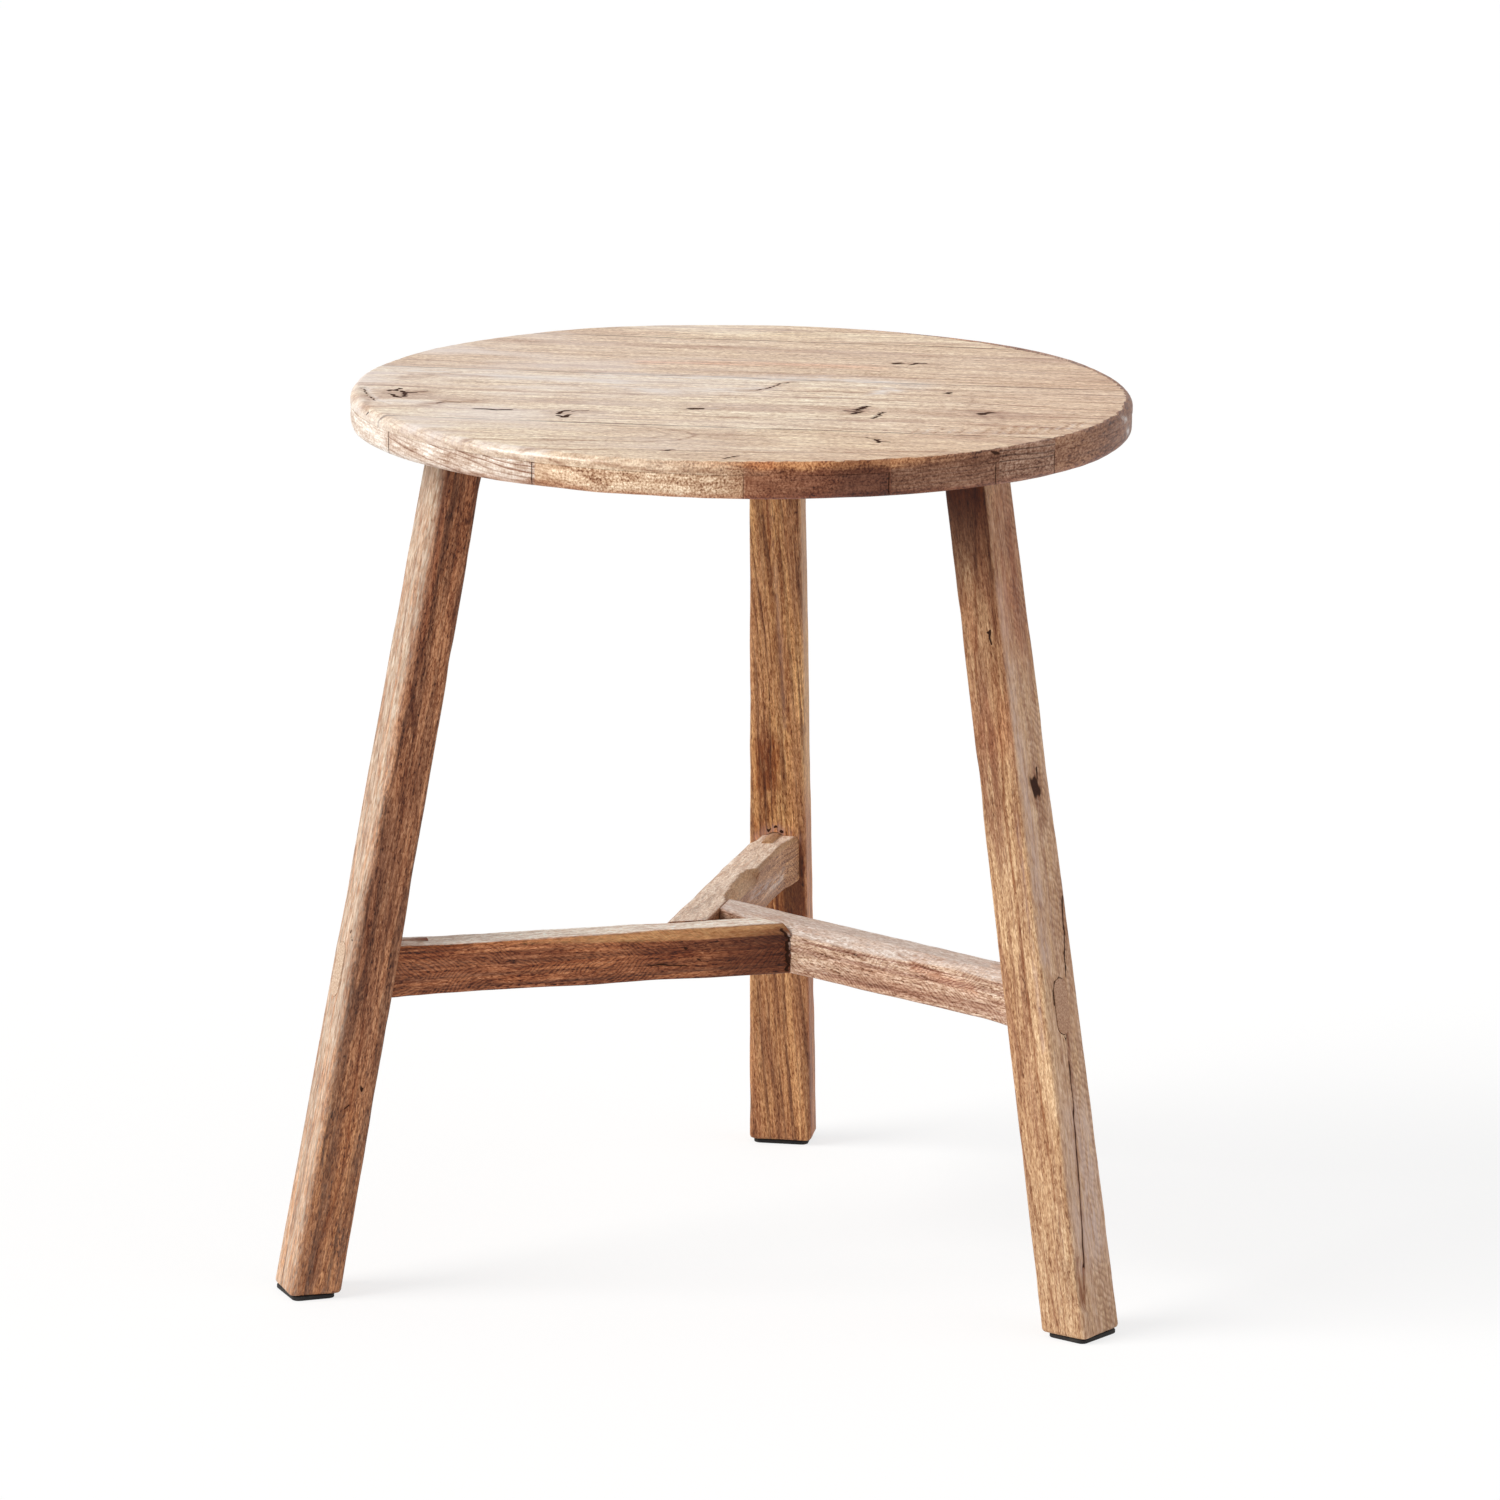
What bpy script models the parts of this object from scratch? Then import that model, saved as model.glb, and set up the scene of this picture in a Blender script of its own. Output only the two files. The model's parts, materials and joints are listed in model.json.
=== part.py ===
"""Round side table of reclaimed elm on three splayed legs.

The top is two layers of boards glued across each other. Three tapered legs are let into
its underside, and three rails pass right through the legs and lock in a pinwheel.
Metres, +Z up. The origin is on the floor at the middle of the table's bounding box, and
the back leg stands towards +Y.
"""
from math import asin, cos, pi, radians, sin, sqrt

import bmesh
import bpy
from mathutils import Matrix, Vector

# Whole table
TABLE_HEIGHT = 0.567
TOP_DIAMETER = 0.500
CLEARANCE = 0.0003

# Top: boards from left to right over boards from front to back
TOP_BOARD_THICKNESS = 0.0080
UNDER_BOARD_THICKNESS = 0.0157
TOP_EDGE_RADIUS = 0.0055
UNDER_EDGE_RADIUS = 0.0065
BOARD_TURN = radians(2)
TOP_JOINT_SHARES = (-0.524, 0.174, 0.730)
UNDER_JOINT_SHARES = (-0.807, -0.406, 0.120, 0.465, 0.711, 0.843)

# Legs: centre lines are measured from the table's axis, widths along the tangent
LEG_TOP_REACH = 0.188
LEG_FOOT_REACH = 0.286
LEG_TOP_WIDTH = 0.0305
LEG_TOP_DEPTH = 0.0270
LEG_FOOT_WIDTH = 0.0400
LEG_FOOT_DEPTH = 0.0310
LEG_EDGE_RADIUS = 0.0050
FOOT_EDGE_RADIUS = 0.0020
LEG_TENON_DIAMETER = 0.0200
LEG_TENON_LENGTH = 0.0120
GLIDE_THICKNESS = 0.0030
GLIDE_INSET = 0.0015

# Rails: the void is the small open triangle where the three of them meet
RAIL_MIDDLE_HEIGHT = 0.209
RAIL_WIDTH = 0.0240
RAIL_HEIGHT = 0.0310
RAIL_ROOT_HEIGHT = 0.0355
RAIL_FLARE_LENGTH = 0.0300
RAIL_EDGE_RADIUS = 0.0035
RAIL_VOID_SIDE = 0.0340
RAIL_TENON_WIDTH = 0.0160
RAIL_TENON_HEIGHT = 0.0345
RAIL_TENON_PROUD = 0.0004
DOWEL_DIAMETER = 0.0080
DOWEL_LENGTH = 0.0300

# Places worked out from the sizes above
TOP_RADIUS = TOP_DIAMETER / 2
LAYER_JOINT_Z = TABLE_HEIGHT - TOP_BOARD_THICKNESS
UNDERSIDE_Z = LAYER_JOINT_Z - CLEARANCE - UNDER_BOARD_THICKNESS
LEG_TOP_Z = UNDERSIDE_Z - CLEARANCE
LEG_FOOT_Z = GLIDE_THICKNESS + CLEARANCE
LEG_RISE = LEG_TOP_Z - LEG_FOOT_Z
LEG_TOP_CENTRE = Vector((LEG_TOP_REACH, 0, LEG_TOP_Z))
LEG_FOOT_CENTRE = Vector((LEG_FOOT_REACH, 0, LEG_FOOT_Z))
LEG_LINE = (LEG_TOP_CENTRE - LEG_FOOT_CENTRE).normalized()
LEG_REACH_AT_RAIL = LEG_FOOT_REACH + (LEG_TOP_REACH - LEG_FOOT_REACH) * (
    (RAIL_MIDDLE_HEIGHT - LEG_FOOT_Z) / LEG_RISE)
VOID_INRADIUS = RAIL_VOID_SIDE / (2 * sqrt(3))
RAIL_OFFSET = VOID_INRADIUS + RAIL_WIDTH / 2
RAIL_YAW = asin(RAIL_OFFSET / LEG_REACH_AT_RAIL)
BUTT_ANGLE = radians(30)
AXIS_Y = (TOP_RADIUS - LEG_FOOT_REACH - LEG_FOOT_DEPTH / 2) / 2

# Facets
RIM_SEGMENTS = 120
ROUND_SEGMENTS = 4
FOOT_SEGMENTS = 2
TENON_SEGMENTS = 32
FLARE_STATIONS = 5
CREASE_ANGLE = radians(40)
ALONG_ANGLE = radians(20)

SIDES = {"back": radians(90), "left": radians(210), "right": radians(330)}
TOP_BOARD_NAMES = ("front", "front_middle", "back_middle", "back")
TOP_BOARD_COLOURS = ((0.62, 0.46, 0.29), (0.60, 0.44, 0.28), (0.57, 0.41, 0.26), (0.61, 0.44, 0.27))
UNDER_BOARD_COLOUR = (0.36, 0.22, 0.13)
LEG_COLOUR = (0.40, 0.24, 0.13)
RAIL_COLOUR = (0.36, 0.21, 0.13)
DOWEL_COLOUR = (0.58, 0.43, 0.27)
GLIDE_COLOUR = (0.02, 0.02, 0.02)


# Scene, collections and materials

def clear_scene():
    for old in list(bpy.data.objects):
        bpy.data.objects.remove(old, do_unlink=True)


def new_collection(name):
    collection = bpy.data.collections.new(name)
    bpy.context.scene.collection.children.link(collection)
    return collection


def finish(name, colour, roughness):
    material = bpy.data.materials.new(name)
    material.use_nodes = True
    shader = material.node_tree.nodes["Principled BSDF"]
    shader.inputs["Base Color"].default_value = (*colour, 1)
    shader.inputs["Roughness"].default_value = roughness
    shader.inputs["Metallic"].default_value = 0
    return material


def to_mesh(name, bm, material=None):
    """Turn a bmesh into a mesh with soft rounds and crisp corners."""
    bmesh.ops.recalc_face_normals(bm, faces=bm.faces)
    mesh = bpy.data.meshes.new(name)
    bm.to_mesh(mesh)
    bm.free()
    mesh.shade_smooth()
    mesh.set_sharp_from_angle(angle=CREASE_ANGLE)
    if material:
        mesh.materials.append(material)
    return mesh


def place(name, mesh, turn, collection, axis):
    """Stand a piece on the table's axis, turned to its own side of the table."""
    piece = bpy.data.objects.new(name, mesh)
    piece.parent = axis
    piece.rotation_euler.z = turn
    collection.objects.link(piece)
    return piece


def as_cutter(piece):
    piece.hide_render = True
    piece.display_type = "WIRE"
    return piece


def add_boolean(piece, operation, tool):
    step = piece.modifiers.new(tool.name, "BOOLEAN")
    step.operation = operation
    step.solver = "EXACT"
    step.object = tool


# Woodworking steps on a bmesh

def saw(bm, point, normal):
    """Saw away what lies beyond a plane and close the cut face."""
    everything = bm.verts[:] + bm.edges[:] + bm.faces[:]
    bmesh.ops.bisect_plane(bm, geom=everything, plane_co=point, plane_no=normal, clear_outer=True)
    bmesh.ops.holes_fill(bm, edges=[edge for edge in bm.edges if edge.is_boundary])


def round_edges(bm, edges, radius, segments=ROUND_SEGMENTS):
    bmesh.ops.bevel(bm, geom=edges, offset=radius, segments=segments, profile=0.5, affect="EDGES")


def edges_along(bm, direction):
    """The edges that run nearly along a direction."""
    return [edge for edge in bm.edges
            if abs((edge.verts[1].co - edge.verts[0].co).normalized().dot(direction)) > cos(ALONG_ANGLE)]


def box(low, high):
    bm = bmesh.new()
    bmesh.ops.create_cube(bm, size=1)
    for vert in bm.verts:
        vert.co = [a if share < 0 else b for share, a, b in zip(vert.co, low, high)]
    return bm


def round_bar(start, end, diameter):
    """A closed cylinder between two points."""
    bm = bmesh.new()
    line = end - start
    spin = Vector((0, 0, 1)).rotation_difference(line).to_matrix().to_4x4()
    bmesh.ops.create_cone(
        bm, cap_ends=True, segments=TENON_SEGMENTS, radius1=diameter / 2, radius2=diameter / 2,
        depth=line.length, matrix=Matrix.Translation((start + end) / 2) @ spin)
    return bm


def slot_bar(x_start, x_end, y_middle, z_middle, width, height):
    """A bar along X whose section has flat sides and half-round top and bottom."""
    bm = bmesh.new()
    radius = width / 2 / cos(pi / TENON_SEGMENTS)
    half_step = Matrix.Rotation(pi / TENON_SEGMENTS, 4, "Z")
    lay_down = Matrix.Rotation(pi / 2, 4, "Y")
    bmesh.ops.create_cone(bm, cap_ends=True, segments=TENON_SEGMENTS, radius1=radius, radius2=radius,
                          depth=x_end - x_start, matrix=lay_down @ half_step)
    lift = height / 2 - radius
    for vert in bm.verts:
        vert.co.z += lift if vert.co.z > 0 else -lift
    middle = Vector(((x_start + x_end) / 2, y_middle, z_middle))
    bmesh.ops.translate(bm, verts=bm.verts, vec=middle)
    return bm


# Top

def disc(bottom_z, top_z, rounded_z, edge_radius):
    """One whole layer of the top, with the round on its outer edge at rounded_z."""
    bm = bmesh.new()
    middle = Matrix.Translation((0, 0, (bottom_z + top_z) / 2))
    bmesh.ops.create_cone(bm, cap_ends=True, segments=RIM_SEGMENTS, radius1=TOP_RADIUS,
                          radius2=TOP_RADIUS, depth=top_z - bottom_z, matrix=middle)
    rim = [edge for edge in bm.edges
           if all(abs(vert.co.z - rounded_z) < CLEARANCE for vert in edge.verts)]
    round_edges(bm, rim, edge_radius)
    return bm


def sawn_boards(layer, across, joint_shares):
    """Saw a layer into boards whose edges stand half the clearance off each joint line."""
    joints = [share * TOP_RADIUS for share in joint_shares]
    lows = [None] + [joint + CLEARANCE / 2 for joint in joints]
    highs = [joint - CLEARANCE / 2 for joint in joints] + [None]
    boards = []
    for low, high in zip(lows, highs):
        board = layer.copy()
        if low is not None:
            saw(board, across * low, -across)
        if high is not None:
            saw(board, across * high, across)
        boards.append(board)
    layer.free()
    return boards


def make_top_boards(collection, axis):
    layer = disc(LAYER_JOINT_Z, TABLE_HEIGHT, TABLE_HEIGHT, TOP_EDGE_RADIUS)
    boards = sawn_boards(layer, Vector((0, 1, 0)), TOP_JOINT_SHARES)
    for name, colour, board in zip(TOP_BOARD_NAMES, TOP_BOARD_COLOURS, boards):
        elm = finish("pale_elm_" + name, colour, 0.45)
        place("top_board_" + name, to_mesh("top_board_" + name, board, elm), BOARD_TURN, collection, axis)


def leg_socket(diameter_gap):
    """The shape of a leg's round tenon, grown by a gap for the hole that takes it."""
    start = LEG_TOP_CENTRE - LEG_LINE * LEG_TENON_LENGTH
    end = LEG_TOP_CENTRE + LEG_LINE * (LEG_TENON_LENGTH + diameter_gap)
    return round_bar(start, end, LEG_TENON_DIAMETER + 2 * diameter_gap)


def make_under_boards(collection, cutters, axis):
    layer = disc(UNDERSIDE_Z, LAYER_JOINT_Z - CLEARANCE, UNDERSIDE_Z, UNDER_EDGE_RADIUS)
    boards = sawn_boards(layer, Vector((1, 0, 0)), UNDER_JOINT_SHARES)
    drill = to_mesh("leg_socket_drill", leg_socket(CLEARANCE))
    drills = [as_cutter(place("leg_socket_drill_" + side, drill, turn, cutters, axis))
              for side, turn in SIDES.items()]
    elm = finish("brown_elm_under_board", UNDER_BOARD_COLOUR, 0.55)
    edges = [-TOP_RADIUS, *(share * TOP_RADIUS for share in UNDER_JOINT_SHARES), TOP_RADIUS]
    for number, board in enumerate(boards):
        name = "under_board_" + str(number + 1)
        piece = place(name, to_mesh(name, board, elm), BOARD_TURN, collection, axis)
        for drill_object, turn in zip(drills, SIDES.values()):
            leg_x = LEG_TOP_REACH * cos(turn - BOARD_TURN)
            if edges[number] < leg_x < edges[number + 1]:
                add_boolean(piece, "DIFFERENCE", drill_object)


# Legs

def leg_blank():
    """A tapered, splayed leg between two level ends, with its long corners rounded."""
    bm = bmesh.new()
    bmesh.ops.create_cube(bm, size=1)
    for vert in bm.verts:
        if vert.co.z > 0:
            vert.co = LEG_TOP_CENTRE + Vector((vert.co.x * LEG_TOP_DEPTH, vert.co.y * LEG_TOP_WIDTH, 0))
        else:
            vert.co = LEG_FOOT_CENTRE + Vector((vert.co.x * LEG_FOOT_DEPTH, vert.co.y * LEG_FOOT_WIDTH, 0))
    round_edges(bm, edges_along(bm, LEG_LINE), LEG_EDGE_RADIUS)
    foot = [edge for edge in bm.edges
            if all(abs(vert.co.z - LEG_FOOT_Z) < CLEARANCE for vert in edge.verts)]
    round_edges(bm, foot, FOOT_EDGE_RADIUS, FOOT_SEGMENTS)
    return bm


def rail_tenon(x_start, gap, name):
    """The rail's through tenon, or the mortise for it when there is a gap round it."""
    x_end = LEG_FOOT_REACH + LEG_FOOT_DEPTH
    bar = slot_bar(x_start, x_end, RAIL_OFFSET, RAIL_MIDDLE_HEIGHT,
                   RAIL_TENON_WIDTH + 2 * gap, RAIL_TENON_HEIGHT + 2 * gap)
    bmesh.ops.rotate(bar, verts=bar.verts, cent=(0, 0, 0), matrix=Matrix.Rotation(-RAIL_YAW, 3, "Z"))
    if not gap:
        saw(bar, *leg_face(+1, RAIL_TENON_PROUD))
    return to_mesh(name, bar)


def leg_face(side, outward):
    """A point and the outward normal of a leg's outer (+1) or inner (-1) face, moved outward."""
    foot = LEG_FOOT_CENTRE + Vector((side * LEG_FOOT_DEPTH / 2, 0, 0))
    top = LEG_TOP_CENTRE + Vector((side * LEG_TOP_DEPTH / 2, 0, 0))
    normal = Vector((0, 1, 0)).cross(top - foot).normalized()
    return foot + normal * outward, normal


def make_legs(collection, cutters, axis):
    elm = finish("tan_elm_leg", LEG_COLOUR, 0.5)
    blank = to_mesh("leg", leg_blank(), elm)
    tenon = to_mesh("leg_tenon", leg_socket(0))
    mortise = rail_tenon(LEG_TOP_REACH, CLEARANCE, "rail_mortise")
    for side, turn in SIDES.items():
        leg = place("leg_" + side, blank, turn, collection, axis)
        add_boolean(leg, "UNION", as_cutter(place("leg_tenon_" + side, tenon, turn, cutters, axis)))
        add_boolean(leg, "DIFFERENCE", as_cutter(place("rail_mortise_" + side, mortise, turn, cutters, axis)))


def make_glides(collection, axis):
    """Thin rubber pads under the feet, a little smaller than the feet."""
    rubber = finish("black_rubber", GLIDE_COLOUR, 0.8)
    half = Vector((LEG_FOOT_DEPTH / 2 - GLIDE_INSET, LEG_FOOT_WIDTH / 2 - GLIDE_INSET, 0))
    middle = Vector((LEG_FOOT_REACH, 0, 0))
    pad = box(middle - half, middle + half + Vector((0, 0, GLIDE_THICKNESS)))
    round_edges(pad, edges_along(pad, Vector((0, 0, 1))), LEG_EDGE_RADIUS)
    mesh = to_mesh("glide", pad, rubber)
    for side, turn in SIDES.items():
        place("glide_" + side, mesh, turn, collection, axis)


# Rails

def rail_end_x(y):
    """Where the rail's inner end, cut at sixty degrees, meets its neighbour's side."""
    return -(VOID_INRADIUS - CLEARANCE + y * sin(BUTT_ANGLE)) / cos(BUTT_ANGLE)


def rail_half_height(x):
    """Half the rail's height, which swells in a smooth curve towards the leg."""
    root_x = LEG_REACH_AT_RAIL - LEG_FOOT_DEPTH / 2
    share = min(max((x - root_x + RAIL_FLARE_LENGTH) / RAIL_FLARE_LENGTH, 0), 1)
    swell = (1 - cos(pi * share)) / 2
    return (RAIL_HEIGHT + (RAIL_ROOT_HEIGHT - RAIL_HEIGHT) * swell) / 2


def rail_blank():
    """One rail from its sixty degree end to the shoulder against the leg's inner face."""
    x_leg = LEG_REACH_AT_RAIL
    low = Vector((0, VOID_INRADIUS, -RAIL_HEIGHT / 2))
    high = Vector((x_leg, VOID_INRADIUS + RAIL_WIDTH, RAIL_HEIGHT / 2))
    bm = box(low, high)
    for vert in bm.verts:
        if vert.co.x < x_leg / 2:
            vert.co.x = rail_end_x(vert.co.y)
    for station in range(FLARE_STATIONS):
        x = x_leg - LEG_FOOT_DEPTH / 2 - RAIL_FLARE_LENGTH * station / (FLARE_STATIONS - 1)
        everything = bm.verts[:] + bm.edges[:] + bm.faces[:]
        bmesh.ops.bisect_plane(bm, geom=everything, plane_co=(x, 0, 0), plane_no=(1, 0, 0))
    for vert in bm.verts:
        half = rail_half_height(vert.co.x)
        vert.co.z = RAIL_MIDDLE_HEIGHT + (half if vert.co.z > 0 else -half)
    round_edges(bm, edges_along(bm, Vector((1, 0, 0))), RAIL_EDGE_RADIUS)
    bmesh.ops.rotate(bm, verts=bm.verts, cent=(0, 0, 0), matrix=Matrix.Rotation(-RAIL_YAW, 3, "Z"))
    saw(bm, *leg_face(-1, -CLEARANCE))
    return bm


def butt_dowel(gap):
    """The dowel across a rail's butt joint, or its hole when there is a gap round it."""
    y = VOID_INRADIUS + RAIL_WIDTH / 2
    middle = Vector((rail_end_x(y), y, RAIL_MIDDLE_HEIGHT))
    half = Vector((DOWEL_LENGTH / 2 + gap, 0, 0))
    bar = round_bar(middle - half, middle + half, DOWEL_DIAMETER + 2 * gap)
    bmesh.ops.rotate(bar, verts=bar.verts, cent=(0, 0, 0), matrix=Matrix.Rotation(-RAIL_YAW, 3, "Z"))
    return bar


def make_rails(collection, cutters, axis):
    elm = finish("red_brown_elm_rail", RAIL_COLOUR, 0.5)
    beech = finish("pale_dowel", DOWEL_COLOUR, 0.6)
    blank = to_mesh("rail", rail_blank(), elm)
    tenon_start = LEG_REACH_AT_RAIL - LEG_FOOT_DEPTH
    tenon = rail_tenon(tenon_start, 0, "rail_tenon")
    drill = to_mesh("dowel_drill", butt_dowel(CLEARANCE))
    dowel = to_mesh("rail_dowel", butt_dowel(0), beech)
    rails = {}
    for side, turn in SIDES.items():
        rails[side] = place("rail_" + side, blank, turn, collection, axis)
        add_boolean(rails[side], "UNION", as_cutter(place("rail_tenon_" + side, tenon, turn, cutters, axis)))
        place("rail_dowel_" + side, dowel, turn, collection, axis)
    order = list(SIDES)
    for side, neighbour in zip(order, order[1:] + order[:1]):
        hole = as_cutter(place("dowel_drill_" + side, drill, SIDES[side], cutters, axis))
        add_boolean(rails[side], "DIFFERENCE", hole)
        add_boolean(rails[neighbour], "DIFFERENCE", hole)


def build_table():
    clear_scene()
    table = new_collection("round_side_table")
    cutters = new_collection("table_cutters")
    axis = bpy.data.objects.new("table_axis", None)
    axis.location.y = AXIS_Y
    table.objects.link(axis)
    make_top_boards(table, axis)
    make_under_boards(table, cutters, axis)
    make_legs(table, cutters, axis)
    make_glides(table, axis)
    make_rails(table, cutters, axis)


build_table()
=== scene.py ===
import json
import math

import bmesh
import bpy
import numpy as np
from mathutils import Matrix, Quaternion, Vector


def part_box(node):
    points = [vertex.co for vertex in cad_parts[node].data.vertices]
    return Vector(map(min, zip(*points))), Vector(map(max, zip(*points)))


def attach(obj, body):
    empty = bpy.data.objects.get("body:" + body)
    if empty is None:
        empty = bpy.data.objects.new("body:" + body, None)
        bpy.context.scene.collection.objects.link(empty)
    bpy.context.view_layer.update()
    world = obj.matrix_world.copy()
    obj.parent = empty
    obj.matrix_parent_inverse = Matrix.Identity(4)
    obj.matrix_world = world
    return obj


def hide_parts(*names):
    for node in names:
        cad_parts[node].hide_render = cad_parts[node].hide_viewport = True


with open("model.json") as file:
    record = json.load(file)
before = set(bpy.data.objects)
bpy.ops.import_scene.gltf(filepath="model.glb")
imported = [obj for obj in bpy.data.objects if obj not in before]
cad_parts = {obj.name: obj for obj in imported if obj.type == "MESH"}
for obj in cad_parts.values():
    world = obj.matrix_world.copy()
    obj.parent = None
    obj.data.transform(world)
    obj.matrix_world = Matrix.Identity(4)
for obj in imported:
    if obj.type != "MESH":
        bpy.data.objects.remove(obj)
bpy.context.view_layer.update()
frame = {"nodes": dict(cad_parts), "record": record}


# Top boards
# Four boards of pale reclaimed elm lie side by side and are glued over a crosswise layer. The round was
# cut by hand after gluing, so its rim wanders a little, and its upper corner is rounded over.

# Sizes are in millimetres, in frames that stand on the axis of the round top and turn with each piece.
nodes = frame["nodes"]
MM = 0.001
tabletop = next(m for m in frame["record"]["mounts"] if m["name"] == "tabletop")
AXIS = np.array([*tabletop["pos_m"][:2], 0.0])
CREASE = 32.0
WELD = 1e-4
BOARD_TURN = 2.0
TOP_ROUND = 5.5
UNDER_ROUND = 6.5
GLUE_EASE = 0.05
GLUE_LINE = 0.25
JOINT_GAP = 0.1
RIM_WANDER = ((155.0, 52.0, -9.0), (52.0, 26.0, 7.0))
MARK_KINDS = ("crack", "stain", "pale", "rosy")


def seen_from_axis(node, turn):
    """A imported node's corners in mm, in a frame on the table's axis turned by that many degrees."""
    corners = np.array([v.co for v in nodes[node].data.vertices]) - AXIS
    c, s = math.cos(math.radians(turn)), math.sin(math.radians(turn))
    x, y, z = corners.T
    return np.c_[x * c + y * s, y * c - x * s, z] / MM


def in_place(points, turn):
    """Points in mm in such a turned frame, put back where the table stands."""
    c, s = math.cos(math.radians(turn)), math.sin(math.radians(turn))
    x, y, z = points.T
    return np.c_[x * c - y * s, x * s + y * c, z] * MM + AXIS


def smooth(value, low, high):
    """0 below low, 1 above high, and a soft step between them."""
    share = np.clip((value - low) / (high - low), 0, 1)
    return share * share * (3 - 2 * share)


def waves(points, lengths, seed, count=10):
    """A smooth random height, mostly from -1 to 1, over points in mm. It is drawn out by the lengths."""
    rng = np.random.default_rng(seed)
    ways = rng.normal(size=(count, points.shape[1]))
    ways *= rng.uniform(0.6, 1.4, (count, 1)) / np.linalg.norm(ways, axis=1, keepdims=True)
    turns = 2 * math.pi * ((points / np.array(lengths)) @ ways.T + rng.uniform(0, 1, count))
    return np.sin(turns).sum(axis=1) / math.sqrt(count)


def stroke(points, line, width):
    """How strongly each flat point lies on a drawn line, from 0 to 1."""
    nearest = np.full(len(points), 1e9)
    for start, end in zip(line, line[1:]):
        start, way = np.array(start, float), np.subtract(end, start).astype(float)
        share = np.clip((points - start) @ way / max(way @ way, 1e-9), 0, 1)
        nearest = np.minimum(nearest, np.linalg.norm(points - start - share[:, None] * way, axis=1))
    return np.exp(-(nearest / (width / 2)) ** 2)


def drawn(points, marks, seed, shake):
    """The strength of each kind of mark at flat points in mm, and how deep it cuts. X is the grain.

    A mark is its kind, its width, the depth of its cut, its strength and the points of its line.
    """
    fields = {kind: np.zeros(len(points)) for kind in MARK_KINDS}
    depth = np.zeros(len(points))
    shaky = points + shake * np.c_[4 * waves(points, (30, 5), seed), waves(points, (18, 3), seed + 1)]
    for kind, width, cut, strength, line in marks:
        on = stroke(shaky, line if len(line) > 1 else line * 2, width)
        fields[kind] = np.maximum(fields[kind], strength * on)
        depth = np.maximum(depth, cut * on) if cut > 0 else np.minimum(depth, cut * on)
    return fields, depth


def narrow(marks, width):
    """The marks that are finer than the faces under them."""
    return [mark for mark in marks if mark[1] < width]


def as_mesh(body, name):
    """Turns a body being made into a mesh."""
    mesh = bpy.data.meshes.new(name)
    body.to_mesh(mesh)
    body.free()
    return mesh


def as_body(mesh):
    """Takes a mesh up again to work on it."""
    body = bmesh.new()
    body.from_mesh(mesh)
    return body


def linked(name, data):
    """A new object in the scene. Its place stays in its data."""
    made = bpy.data.objects.new(name, data)
    bpy.context.scene.collection.objects.link(made)
    return made


def lofted(loops, cap_first=True, cap_last=True):
    """A closed body through loops of points that all have the same count."""
    rows, count = loops.shape[:2]
    faces = []
    for row in range(rows - 1):
        here, there = row * count, (row + 1) * count
        for at in range(count):
            beside = (at + 1) % count
            faces.append((here + at, here + beside, there + beside, there + at))
    if cap_first:
        faces.append(tuple(range(count - 1, -1, -1)))
    if cap_last:
        faces.append(tuple(range((rows - 1) * count, rows * count)))
    mesh = bpy.data.meshes.new("loft")
    mesh.from_pydata(loops.reshape(-1, 3).tolist(), [], faces)
    body = as_body(mesh)
    bpy.data.meshes.remove(mesh)
    bmesh.ops.remove_doubles(body, verts=body.verts, dist=WELD)
    bmesh.ops.recalc_face_normals(body, faces=body.faces)
    return body


def refined(body, wanted, passes):
    """Splits the faces that a test on face centres picks, so that fine marks have points to shape."""
    for _ in range(passes):
        faces = list(body.faces)
        centres = np.array([f.calc_center_median() for f in faces])
        chosen = [f for f, hit in zip(faces, wanted(centres)) if hit and len(f.verts) <= 8]
        edges = list({e for f in chosen for e in f.edges})
        if edges:
            bmesh.ops.subdivide_edges(body, edges=edges, cuts=1, use_grid_fill=True)


def arrays(body):
    """The points and the outward directions of a body being made."""
    body.normal_update()
    return np.array([v.co for v in body.verts]), np.array([v.normal for v in body.verts])


def finished(node, body, points, turn, fields, material):
    """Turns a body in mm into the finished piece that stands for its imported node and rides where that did."""
    mesh = as_mesh(body, f"elm_{node}")
    mesh.vertices.foreach_set("co", in_place(points, turn).astype(np.float32).ravel())
    for kind, values in fields.items():
        layer = mesh.attributes.new(kind, "FLOAT", "POINT")
        layer.data.foreach_set("value", np.clip(values, -50, 50).astype(np.float32))
    mesh.update()
    mesh.shade_smooth()
    mesh.set_sharp_from_angle(angle=math.radians(CREASE))
    mesh.materials.clear()
    mesh.materials.append(material)
    made = linked(f"elm_{node}", mesh)
    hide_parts(node)
    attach(made, "root")


TOP_BOARDS = ("front", "front_middle", "back_middle", "back")
top_corners = [seen_from_axis(f"top_board_{name}", BOARD_TURN) for name in TOP_BOARDS]
ROUND = max(np.hypot(c[:, 0], c[:, 1]).max() for c in top_corners)
TOP = max(c[:, 2].max() for c in top_corners)


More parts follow.
